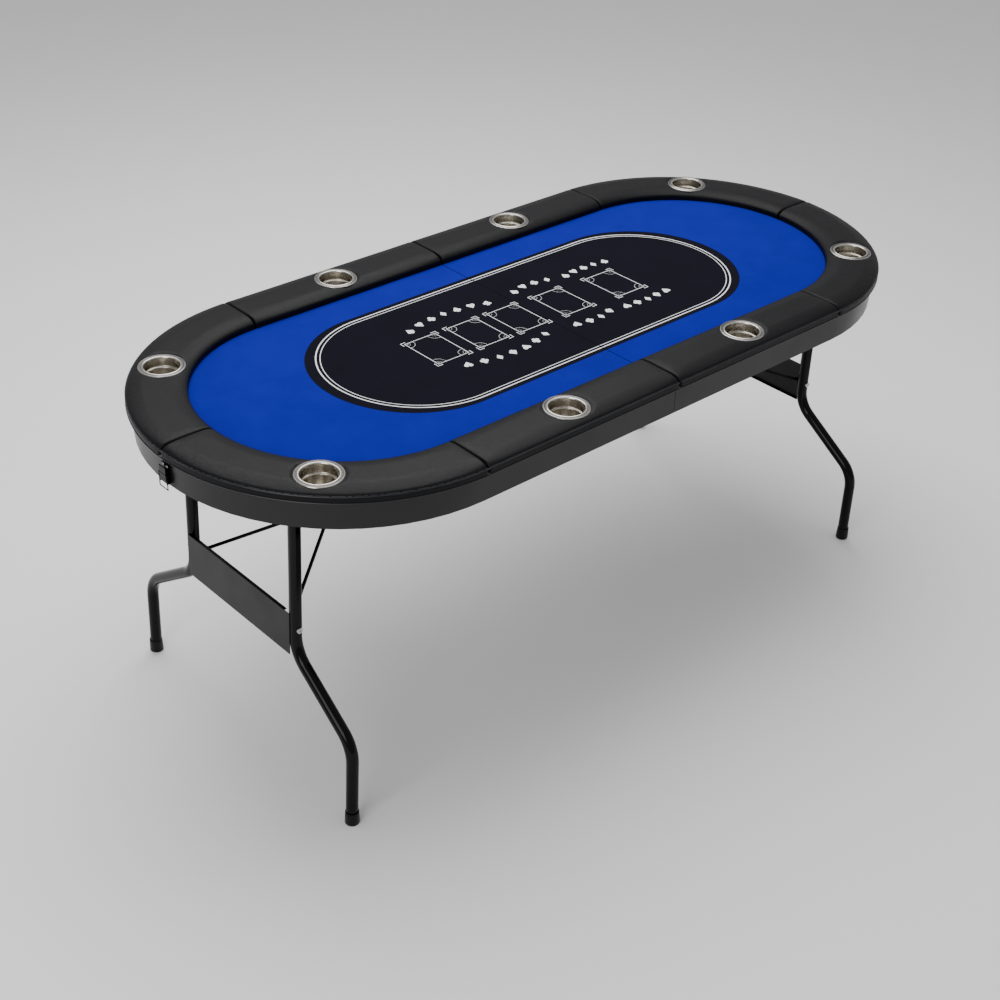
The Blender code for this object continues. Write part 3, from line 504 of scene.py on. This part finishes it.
def make_rail():
    pads = []
    for node in frame["nodes"]:
        if node.endswith("_pad"):
            pad = Pad(node)
            obj = rough_pad(pad)
            tuck_ends(obj, pad)
            pads.append((obj, pad))
    stuff(pads)
    for obj, pad in pads:
        gather(obj, pad)
        finer = obj.modifiers.new("finer", "SUBSURF")
        finer.levels = 1
        finer.render_levels = 1
        settle(obj)
        cut_cup_hole(obj, pad)
        fit_to(obj, f"{'left' if pad.side < 0 else 'right'}_half", "leatherette", pad.node)


def rail_line(radius, side, height, start):
    """Points along half of the rail at this distance from its middle line."""
    return [(x, y, height) for x, y in half_outline(radius, side, start)]


def make_rail_trim(hand, side):
    """Welt bead at the foot of the rail, and the stitched edge of its outer band."""
    body = f"{hand}_half"
    foot_line = rail_line(HALF_WIDTH - 0.0002, side, RAIL_BOTTOM + 0.0009, SEAM + 0.001)
    bead = wire(f"{hand}_rail_welt", [foot_line], 0.0011, VINYL_BEAD)
    fit_to(bead, body, "leatherette")
    band_line = rail_line(HALF_WIDTH - 0.0007, side, RAIL_BOTTOM + RAIL_BAND - 0.0006, SEAM + 0.002)
    crease = wire(f"{hand}_band_seam", [band_line], 0.0012, VINYL_BEAD)
    for vert in crease.data.vertices:
        vert.co += vert.normal * 0.0004 * noise.noise(vert.co * 260)
    fit_to(crease, body, "leatherette")
    path = [Vector(point) for point in
            rail_line(HALF_WIDTH - 0.0016, side, RAIL_BOTTOM + RAIL_BAND + 0.0014, SEAM + 0.004)]
    stitches = []
    pitch, length = 0.0040, 0.0029
    travelled, due = 0.0, 0.0
    for a, b in zip(path, path[1:]):
        span = (b - a).length
        while due + length < travelled + span:
            if due >= travelled:
                first = a.lerp(b, (due - travelled) / span)
                second = a.lerp(b, (due + length - travelled) / span)
                stitches.append([tuple(first), tuple(second)])
            due += pitch
        travelled += span
    thread = wire(f"{hand}_band_stitching", stitches, 0.00045, THREAD, 4)
    fit_to(thread, body, "leatherette")


# ---------------------------------------------------------------- playing cloth and its print


def flat_sheet(name, outline, low, high, material, soft_edge=0.0):
    """A flat outline with a thickness, its upper edge rounded."""
    bm = bmesh.new()
    face = bm.faces.new([bm.verts.new((x, y, low)) for x, y in outline])
    grown = bmesh.ops.extrude_face_region(bm, geom=[face], use_keep_orig=True)["geom"]
    top = [item for item in grown if isinstance(item, bmesh.types.BMVert)]
    bmesh.ops.translate(bm, vec=(0.0, 0.0, high - low), verts=top)
    if soft_edge:
        rim = [item for item in grown if isinstance(item, bmesh.types.BMEdge)]
        bmesh.ops.bevel(bm, geom=rim, offset=soft_edge, segments=4, profile=0.5, affect="EDGES", material=-1)
    return finish(bm, name, material, 60)


def make_cloth(hand, side):
    outline = half_outline(FELT_RADIUS, side, SEAM)
    cloth = flat_sheet(f"{hand}_playing_cloth", outline, FELT_LOW.z, FELT_TOP, BLUE_CLOTH, 0.0006)
    fit_to(cloth, f"{hand}_half", "felt", f"{hand}_felt")


def make_seam_shadow_strip(hand, side):
    """A thin black strip on the cut edge of the cloth, where the halves meet: painted shade standing in for
    the shadow in the gap between the halves.
    """
    bm = bmesh.new()
    bmesh.ops.create_cube(bm, size=1.0)
    # a sheet 0.16 mm thick, as tall as the cloth: painted shade in the seam gap
    shadow_strip_size = (0.00016, 2 * FELT_RADIUS - 0.002, FELT_TOP - FELT_LOW.z + 0.0002)
    bmesh.ops.scale(bm, vec=shadow_strip_size, verts=bm.verts)
    bmesh.ops.translate(bm, vec=(side * (SEAM - 0.00004), 0.0, (FELT_TOP + FELT_LOW.z) / 2), verts=bm.verts)
    bmesh.ops.bevel(bm, geom=bm.edges[:], offset=0.00003, segments=1, profile=0.5, affect="EDGES",
                    material=-1)
    fit_to(finish(bm, f"{hand}_seam_shadow_strip", BLACK_PRINT), f"{hand}_half", "felt")


PRINT_RADIUS = 0.219         # half width of the dark oval
PRINT_ARC_X = 0.338          # centre of its round ends
LINE_ARC_X = 0.326           # centre of the round ends of its two lines
PRINT_RISE = 0.00012
INK_RISE = 0.00026


def ink_line(path, width, cyclic=False):
    return {"path": path, "width": width, "cyclic": cyclic}


def square(centre, half_x, half_y):
    x, y = centre
    left, right = x - half_x, x + half_x
    return [(left, y - half_y), (right, y - half_y), (right, y + half_y), (left, y + half_y)]


CARDS = ((-0.272, 0.004), (-0.159, 0.004), (-0.047, 0.003), (0.084, 0.001), (0.240, -0.005))
CARD_HALF = (0.0405, 0.0540)
CARD_LINE = 0.0022
BRACKET_OFF = 0.0062         # corner brackets stand this far outside the card's frame
BRACKET_ARM = 0.0125
BRACKET_LINE = 0.0019
SCALLOPS = ((0.0205, 0.0016, 0.0006), (0.0112, 0.0008, 0.0004))   # radius, swell, line width
SPOT_IN = 0.0046             # the dot in each corner
SPOT_HALF = 0.0009
STADIUM_LINES = ((0.2060, 0.0028), (0.1972, 0.0017))              # half width of the oval, line width


def corner_arc(corner, turn_x, turn_y, radius, swell):
    """A quarter round inside a corner of the frame, swelled at its middle."""
    points = []
    for step in range(9):
        angle = math.pi / 2 * step / 8
        reach = radius + swell * math.sin(2 * angle) ** 2
        points.append((corner.x - turn_x * reach * math.cos(angle),
                       corner.y - turn_y * reach * math.sin(angle)))
    return points


def card_lines(x, y):
    """One card place: a frame, corner brackets outside it and scalloped corners inside."""
    half_x, half_y = CARD_HALF
    lines = [ink_line(square((x, y), half_x, half_y), CARD_LINE, True)]
    for turn_x in (-1, 1):
        for turn_y in (-1, 1):
            corner = Vector((x + turn_x * half_x, y + turn_y * half_y))
            outer = corner + Vector((turn_x, turn_y)) * BRACKET_OFF
            lines.append(ink_line([(outer.x - turn_x * BRACKET_ARM, outer.y), (outer.x, outer.y),
                                   (outer.x, outer.y - turn_y * BRACKET_ARM)], BRACKET_LINE))
            for radius, swell, width in SCALLOPS:
                lines.append(ink_line(corner_arc(corner, turn_x, turn_y, radius, swell), width))
            spot = corner - Vector((turn_x, turn_y)) * SPOT_IN
            lines.append(ink_line([(spot.x - SPOT_HALF, spot.y), (spot.x + SPOT_HALF, spot.y)],
                                  2 * SPOT_HALF))
    return lines


def stadium_line(radius, side, width):
    return ink_line(half_outline(radius, side, SEAM + 0.0006, 72, LINE_ARC_X), width)


def make_ink(name, lines, body):
    """Printed lines: flat strips of white lying on the dark print."""
    pieces = bmesh.new()
    for line in lines:
        points = [(x, y, 0.0) for x, y in line["path"]]
        strip = wire("strip", [points], line["width"] / 2, WHITE_PRINT, 4, line["cyclic"])
        pieces.from_mesh(strip.data)
        bpy.data.objects.remove(strip, do_unlink=True)
    bmesh.ops.scale(pieces, vec=(1.0, 1.0, 0.04), verts=pieces.verts)
    bmesh.ops.translate(pieces, vec=(0.0, 0.0, FELT_TOP + INK_RISE), verts=pieces.verts)
    ink = finish(pieces, name, WHITE_PRINT)
    fit_to(ink, body, "felt")


# suit pips: each is a few flat shapes on a 1 x 1 field, centred, pointing to +Y
def pip_shapes(suit):
    """(kind, data) shapes of one suit mark."""
    if suit == "diamond":
        return [("outline", [(0.0, 0.50), (-0.36, 0.0), (0.0, -0.50), (0.36, 0.0)])]
    if suit == "heart":
        return [("round", (-0.22, 0.20, 0.25)), ("round", (0.22, 0.20, 0.25)),
                ("outline", [(-0.44, 0.08), (0.0, -0.50), (0.44, 0.08), (0.0, 0.30)])]
    stem = ("outline", [(-0.05, -0.05), (-0.20, -0.50), (0.20, -0.50), (0.05, -0.05)])
    if suit == "spade":
        return [("round", (-0.22, -0.12, 0.22)), ("round", (0.22, -0.12, 0.22)),
                ("outline", [(-0.42, -0.04), (0.0, -0.25), (0.42, -0.04), (0.0, 0.50)]), stem]
    return [("round", (0.0, 0.24, 0.22)), ("round", (-0.25, -0.08, 0.22)), ("round", (0.25, -0.08, 0.22)),
            ("round", (0.0, 0.02, 0.12)), stem]


def add_pip(bm, suit, x, y, turn, size):
    place = Matrix.Translation((x, y, FELT_TOP + INK_RISE)) @ Matrix.Rotation(turn, 4, "Z")
    place = place @ Matrix.Diagonal((size, size, 1.0, 1.0))
    for layer, (kind, data) in enumerate(pip_shapes(suit)):
        lift = Matrix.Translation((0.0, 0.0, layer * 0.00001))
        if kind == "round":
            cx, cy, radius = data
            bmesh.ops.create_circle(bm, cap_ends=True, segments=20, radius=radius,
                                    matrix=lift @ place @ Matrix.Translation((cx, cy, 0.0)))
        else:
            bm.faces.new([bm.verts.new(lift @ place @ Vector((px, py, 0.0))) for px, py in data])


PIP_ROWS = (                 # first x, last x, how many, middle line, distance from it, rise of the arch
    (-0.267, -0.051, 7, 0.004, 0.1015, 0.019),
    (0.033, 0.133, 4, 0.002, 0.1025, 0.008),
    (0.180, 0.304, 5, -0.006, 0.0985, 0.005),
)
PIP_SIZE = 0.0205
SUITS = ("spade", "heart", "club", "diamond")


def make_pips(hand, side):
    """Rows of suit marks in a shallow arch over the card places, on both long sides."""
    bm = bmesh.new()
    for first, last, count, middle, height, arch in PIP_ROWS:
        if (first < 0) != (side < 0):
            continue
        for number in range(count):
            part = number / (count - 1)
            x = first + (last - first) * part
            bow = arch * (1 - (2 * part - 1) ** 2)
            lean = -math.atan(arch * 4 * (2 * part - 1) / abs(last - first))
            for row in (1, -1):
                y = middle + row * (height + bow - arch / 2)
                turn = lean if row > 0 else math.pi - lean
                add_pip(bm, SUITS[(number + (row < 0)) % 4], x, y, turn, PIP_SIZE)
    for face in bm.faces:
        if face.normal.z < 0:
            face.normal_flip()
    grown = bmesh.ops.extrude_face_region(bm, geom=bm.faces[:], use_keep_orig=True)["geom"]
    top = [item for item in grown if isinstance(item, bmesh.types.BMVert)]
    bmesh.ops.translate(bm, vec=(0.0, 0.0, 0.00008), verts=top)
    fit_to(finish(bm, f"{hand}_suit_marks", WHITE_PRINT), f"{hand}_half", "felt")


def make_print(hand, side):
    outline = half_outline(PRINT_RADIUS, side, SEAM + 0.0002, 96, PRINT_ARC_X)
    ground = flat_sheet(f"{hand}_dark_print", outline, FELT_TOP - 0.0001, FELT_TOP + PRINT_RISE, BLACK_PRINT)
    fit_to(ground, f"{hand}_half", "felt")
    lines = [stadium_line(radius, side, width) for radius, width in STADIUM_LINES]
    for x, y in CARDS:
        if (x < 0) == (side < 0):
            lines += card_lines(x, y)
    make_ink(f"{hand}_printed_lines", lines, f"{hand}_half")
    make_pips(hand, side)


# ---------------------------------------------------------------- cup holders


def cup_section(node):
    """Inside of the floor, up the stepped wall, over the ridged flange and down outside."""
    low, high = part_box(node)
    radius = (high.x - low.x) / 2
    top, bottom = high.z, low.z
    mouth = radius - CUP_MOUTH_INSET
    lower = radius - 0.0146
    step = top - 0.0222
    return [
        (0.0, bottom + 0.0009), (lower - 0.006, bottom + 0.0009), (lower - 0.0025, bottom + 0.0016),
        (lower - 0.0009, bottom + 0.0040), (lower - 0.0009, step - 0.0012), (lower - 0.0003, step + 0.0002),
        (lower + 0.0008, step + 0.0008), (mouth - 0.0022, step + 0.0008), (mouth - 0.0012, step + 0.0014),
        (mouth - 0.0009, step + 0.0028), (mouth - 0.0009, top - 0.0030), (mouth - 0.0004, top - 0.0012),
        (mouth + 0.0006, top - 0.0002), (mouth + 0.0018, top), (mouth + 0.0030, top - 0.0003),
        (mouth + 0.0036, top - 0.0011), (mouth + 0.0044, top - 0.0014), (mouth + 0.0056, top - 0.0013),
        (mouth + 0.0064, top - 0.0006), (mouth + 0.0074, top - 0.0001), (mouth + 0.0086, top - 0.0002),
        (mouth + 0.0098, top - 0.0007), (radius - 0.0002, top - 0.0015), (radius, top - 0.0020),
        (radius - 0.0006, top - 0.0024), (mouth, top - 0.0024), (mouth, step), (lower, step - 0.0008),
        (lower, bottom + 0.0012), (lower - 0.0012, bottom), (0.0, bottom),
    ]


def make_cup(node):
    low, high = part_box(node)
    middle = (low + high) / 2
    bm = bmesh.new()
    line = [bm.verts.new((middle.x + radius, middle.y, height)) for radius, height in cup_section(node)]
    edges = [bm.edges.new(pair) for pair in zip(line, line[1:])]
    bmesh.ops.spin(bm, geom=line + edges, cent=(middle.x, middle.y, 0.0), axis=(0.0, 0.0, 1.0),
                   angle=2 * math.pi, steps=72, use_merge=True)
    cup = finish(bm, node.replace("_cup", "_cup_holder"), STAINLESS, 50)
    mouth = (high.x - low.x) / 2 - CUP_MOUTH_INSET
    turned = cup.data.attributes.new("turned", "FLOAT_VECTOR", "POINT")
    band = cup.data.attributes.new("band", "FLOAT", "POINT")
    painted_inside_shade = cup.data.attributes.new("painted_inside_shade", "FLOAT", "POINT")
    for vert in cup.data.vertices:
        reach = math.hypot(vert.co.x - middle.x, vert.co.y - middle.y)
        turned.data[vert.index].vector = (reach, 0.0, vert.co.z)
        band.data[vert.index].value = 1.0 if mouth + 0.0033 < reach < mouth + 0.0090 else 0.0
        # painted shade inside the cup: 0 down to 1.6 mm below the top, 1 from 7.6 mm down, only inside the
        # mouth
        depth = (high.z - 0.0016 - vert.co.z) / 0.006
        painted_inside_shade.data[vert.index].value = min(1.0, max(0.0, depth)) if reach < mouth else 0.0
    fit_to(cup, f"{node.split('_')[0]}_half", "stainless", node)


# ---------------------------------------------------------------- screws and small hardware


def screw_mesh(radius):
    """A pan head with a cross recess, standing on the plane z = 0."""
    rise = radius * 0.55
    bm = bmesh.new()
    steps = 6
    angles = [math.pi / 2 * step / steps for step in range(steps + 1)]
    line = [bm.verts.new((radius * math.cos(a), 0.0, rise * (0.25 + 0.75 * math.sin(a)))) for a in angles]
    line.insert(0, bm.verts.new((radius, 0.0, -0.0002)))
    edges = [bm.edges.new(pair) for pair in zip(line, line[1:])]
    bmesh.ops.spin(bm, geom=line + edges, cent=(0, 0, 0), axis=(0, 0, 1), angle=2 * math.pi, steps=20,
                   use_merge=True)
    bmesh.ops.remove_doubles(bm, verts=bm.verts, dist=0.00001)
    bmesh.ops.holes_fill(bm, edges=bm.edges, sides=0)
    head = finish(bm, "head", ZINC)
    for wide, tall in ((0.22, 1.15), (1.15, 0.22)):
        slot_bm = bmesh.new()
        bmesh.ops.create_cube(slot_bm, size=1.0)
        bmesh.ops.scale(slot_bm, vec=(radius * wide, radius * tall, radius * 0.7), verts=slot_bm.verts)
        bmesh.ops.translate(slot_bm, vec=(0, 0, rise + radius * 0.05), verts=slot_bm.verts)
        punch_out(head, finish(slot_bm, "slot_punch", ZINC))
    mesh = head.data
    bpy.data.objects.remove(head, do_unlink=True)
    return mesh


SCREW = screw_mesh(0.0034)


def make_screws(name, body, spots, size=1.0):
    """Screw heads at (point, direction) spots, as one piece."""
    bm = bmesh.new()
    for point, direction in spots:
        before = set(bm.verts)
        bm.from_mesh(SCREW)
        fresh = [vert for vert in bm.verts if vert not in before]
        turn = Vector(direction).to_track_quat("Z", "Y").to_matrix().to_4x4()
        place = Matrix.Translation(point) @ turn @ Matrix.Scale(size, 4)
        bmesh.ops.transform(bm, matrix=place, verts=fresh)
    fit_to(finish(bm, name, ZINC), body, "zinc")


def make_hardware():
    down = (0.0, 0.0, -1.0)
    for hand, side in SIDES:
        spots = []
        for where, sign_y in ROWS:
            low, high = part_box(f"{hand}_{where}_leg_bracket")
            y = high.y - 0.010 if sign_y > 0 else low.y + 0.010
            spots += [((x, y, high.z - 0.002), down) for x in (low.x + 0.008, high.x - 0.008)]
            low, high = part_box(f"{hand}_{where}_hinge_leaf")
            x = side * (max(abs(low.x), abs(high.x)) - 0.009)
            spots += [((x, (low.y + high.y) / 2 + step, high.z - 0.002), down) for step in (-0.021, 0, 0.021)]
        low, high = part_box(f"{hand}_link_bracket")
        spots += [((x, y, high.z - 0.0015), down) for x in (low.x + 0.006, high.x - 0.006)
                  for y in (-0.0085, 0.0085)]
        make_screws(f"{hand}_underside_screws", f"{hand}_half", spots, size=0.9)
    low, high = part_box("latch_base")
    face = high.x - 0.0014
    make_screws("latch_screws", "left_half",
                [((face, y, high.z - 0.0045), (-1, 0, 0)) for y in (-0.0068, 0.0068)], size=0.85)
    low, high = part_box("latch_catch")
    make_screws("catch_screws", "right_half",
                [((low.x + 0.0014, y, low.z + 0.005), (1, 0, 0)) for y in (-0.007, 0.007)], size=0.85)


# ---------------------------------------------------------------- CAD pieces that keep their shape


def dress(node, material, rounding=0.0):
    """Gives a CAD node its real material, smooth shading and, where simple, rounded edges."""
    part = frame["nodes"][node]
    part.data.materials.clear()
    part.data.materials.append(material)
    part.data.shade_smooth()
    weld = part.modifiers.new("weld", "WELD")
    weld.merge_threshold = 0.00001
    if rounding:
        bevel = part.modifiers.new("rounded", "BEVEL")
        bevel.width = rounding
        bevel.segments = 3
        bevel.limit_method = "ANGLE"
        bevel.angle_limit = math.radians(40)
        even = part.modifiers.new("even", "WEIGHTED_NORMAL")
        even.weight = 100
    else:
        split = part.modifiers.new("crisp", "EDGE_SPLIT")
        split.split_angle = math.radians(38)


FINISHES = {"apron_panel": LAMINATE, "board": STAINED, "powder_black": GLOSS_COAT,
            "sheet_black": SATIN_COAT, "zinc": ZINC, "foot_plastic": MOULDED}
ROUNDED = {"_apron": 0.0012, "_middle_rail": 0.0008, "_cross_panel": 0.0006, "_foot_cap": 0.0028}


def dress_cad():
    for subpart in frame["record"]["subparts"]:
        node = subpart["node"]
        if subpart["material_slot"] in FINISHES:
            rounding = sum(width for ending, width in ROUNDED.items() if node.endswith(ending))
            dress(node, FINISHES[subpart["material_slot"]], rounding)


# ---------------------------------------------------------------- leg tubes and their feet

TUBE_RADIUS = 0.0127
PIVOT_HOLE = 0.0065          # radius of the hole for the bracket's stud
BENDS = (0.378, 0.503)       # the two bends, down the tube from its pivot
BEND_RADIUS = 0.072
FOOT_MIDDLE = 0.018          # height at which the tube's line crosses the middle of its foot


def bend(before, corner, after, steps=10):
    """Points round a corner of the tube's centre line."""
    into = (corner - before).normalized()
    away = (after - corner).normalized()
    turn = into.angle(away)
    start = corner - into * BEND_RADIUS * math.tan(turn / 2)
    inward = (away - into * away.dot(into)).normalized()
    return [start + inward * BEND_RADIUS * (1 - math.cos(turn * step / steps))
            + into * BEND_RADIUS * math.sin(turn * step / steps) for step in range(steps + 1)]


def make_leg_tube(hand, side, where, sign_y):
    """Drawn steel tube with two easy bends, from its pivot down into its foot."""
    node = f"{hand}_{where}_leg_tube"
    low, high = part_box(node)
    foot_low, foot_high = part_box(f"{hand}_{where}_foot_cap")
    near_y, far_y = sorted((abs(low.y), abs(high.y)))
    top_y = sign_y * (near_y + TUBE_RADIUS)
    foot_y = sign_y * (far_y - TUBE_RADIUS)
    joint = [row for row in frame["record"]["behaviour"]["joints"] if row["name"] == f"{hand}_leg_fold"][0]
    pivot = Vector((joint["pos_m"][0], 0.0, joint["pos_m"][2]))
    foot = Vector(((foot_low.x + foot_high.x) / 2, 0.0, FOOT_MIDDLE))
    down = (foot - pivot).normalized()
    top = pivot - down * ((high.z - pivot.z) / -down.z - 0.0006) + Vector((0.0, top_y, 0.0))
    upper = pivot + down * BENDS[0] + Vector((0.0, top_y, 0.0))
    lower = pivot + down * BENDS[1] + Vector((0.0, foot_y, 0.0))
    end = pivot + down * ((pivot.z - low.z) / -down.z - 0.0006) + Vector((0.0, foot_y, 0.0))
    path = [top] + bend(top, upper, lower) + bend(upper, lower, end) + [end]
    tube = wire(node.replace("_leg_tube", "_bent_tube"), [path], TUBE_RADIUS, GLOSS_COAT, 32)
    bm = bmesh.new()
    across = Matrix.Translation((pivot.x, top_y, pivot.z)) @ Matrix.Rotation(math.pi / 2, 4, "X")
    bmesh.ops.create_cone(bm, cap_ends=True, segments=32, radius1=PIVOT_HOLE, radius2=PIVOT_HOLE,
                          depth=4 * TUBE_RADIUS, matrix=across)
    punch_out(tube, finish(bm, "punch", GLOSS_COAT))
    fit_to(tube, f"{hand}_leg", "powder_black", node)


def make_foot(hand, where):
    """Moulded socket foot: straight sides, a soft shoulder round the tube and a rounded sole."""
    node = f"{hand}_{where}_foot_cap"
    low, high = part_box(node)
    radius = (high.x - low.x) / 2 - 0.0003
    inner = TUBE_RADIUS + 0.0008
    tall = high.z
    sides = [(0.0, 0.0), (radius - 0.0022, 0.0), (radius - 0.0008, 0.0005), (radius - 0.0001, 0.0018),
             (radius, 0.0036), (radius - 0.0005, tall * 0.55), (radius - 0.0009, tall - 0.0050),
             (radius - 0.0013, tall - 0.0022), (radius - 0.0018, tall - 0.0006), (inner + 0.0004, tall),
             (inner, tall - 0.0004), (inner, 0.0070), (0.0, 0.0068)]
    middle = (low + high) / 2
    bm = bmesh.new()
    line = [bm.verts.new((middle.x + reach, middle.y, height)) for reach, height in sides]
    edges = [bm.edges.new(pair) for pair in zip(line, line[1:])]
    bmesh.ops.spin(bm, geom=line + edges, cent=(middle.x, middle.y, 0.0), axis=(0.0, 0.0, 1.0),
                   angle=2 * math.pi, steps=48, use_merge=True)
    foot = finish(bm, node.replace("_foot_cap", "_socket_foot"), MOULDED, 50)
    fit_to(foot, f"{hand}_leg", "foot_plastic", node)


# ---------------------------------------------------------------- floor, light and camera


LIGHTS = (                   # name, place, width, power
    ("overhead", (0.3, 0.9, 3.2), 3.0, 120.0),
    ("front", (-3.0, -1.2, 1.8), 1.6, 34.0),
)


def make_stage():
    bm = bmesh.new()
    bmesh.ops.create_grid(bm, x_segments=1, y_segments=1, size=30.0)
    made, _, _ = new_material("pale_studio_floor", Base_Color=linear("#f7f7f7"), Roughness=0.9)
    floor = finish(bm, "studio_floor", made)
    floor.location.z = CAD_LOW.z - 0.0005
    world = bpy.data.worlds.new("studio")
    world.use_nodes = True
    world.node_tree.nodes["Background"].inputs["Color"].default_value = (1.0, 1.0, 1.0, 1.0)
    world.node_tree.nodes["Background"].inputs["Strength"].default_value = 0.5
    bpy.context.scene.world = world
    for name, place, size, power in LIGHTS:
        light = bpy.data.lights.new(name, "AREA")
        light.size = size
        light.energy = power
        lamp = bpy.data.objects.new(name, light)
        lamp.location = place
        aim = Vector((0.0, 0.0, 0.6)) - Vector(place)
        lamp.rotation_euler = aim.to_track_quat("-Z", "Y").to_euler()
        bpy.context.scene.collection.objects.link(lamp)


def make_camera():
    """The camera's place, and where it looks: turn from +X, dip below level and roll."""
    place = Vector((-2.188, -2.220, 2.286))
    turn, dip, roll = 0.811, 0.578, 0.041
    forward = Vector((math.cos(dip) * math.cos(turn), math.cos(dip) * math.sin(turn), -math.sin(dip)))
    level = Vector((math.sin(turn), -math.cos(turn), 0.0))
    up = level.cross(forward)
    right = level * math.cos(roll) + up * math.sin(roll)
    top = up * math.cos(roll) - level * math.sin(roll)
    lens = bpy.data.cameras.new("camera")
    lens.lens = 57.9
    lens.sensor_width = 36.0
    camera = bpy.data.objects.new("camera", lens)
    camera.matrix_world = Matrix((
        (right.x, top.x, -forward.x, place.x),
        (right.y, top.y, -forward.y, place.y),
        (right.z, top.z, -forward.z, place.z),
        (0.0, 0.0, 0.0, 1.0),
    ))
    bpy.context.scene.collection.objects.link(camera)
    bpy.context.scene.camera = camera


make_camera()
make_stage()
dress_cad()
make_rail()
for hand, side in SIDES:
    make_cloth(hand, side)
    make_seam_shadow_strip(hand, side)
    make_print(hand, side)
    make_rail_trim(hand, side)
for cup_node in [name for name in frame["nodes"] if name.endswith("_cup")]:
    make_cup(cup_node)
make_hardware()
for hand, side in SIDES:
    for where, sign_y in ROWS:
        make_leg_tube(hand, side, where, sign_y)
        make_foot(hand, where)
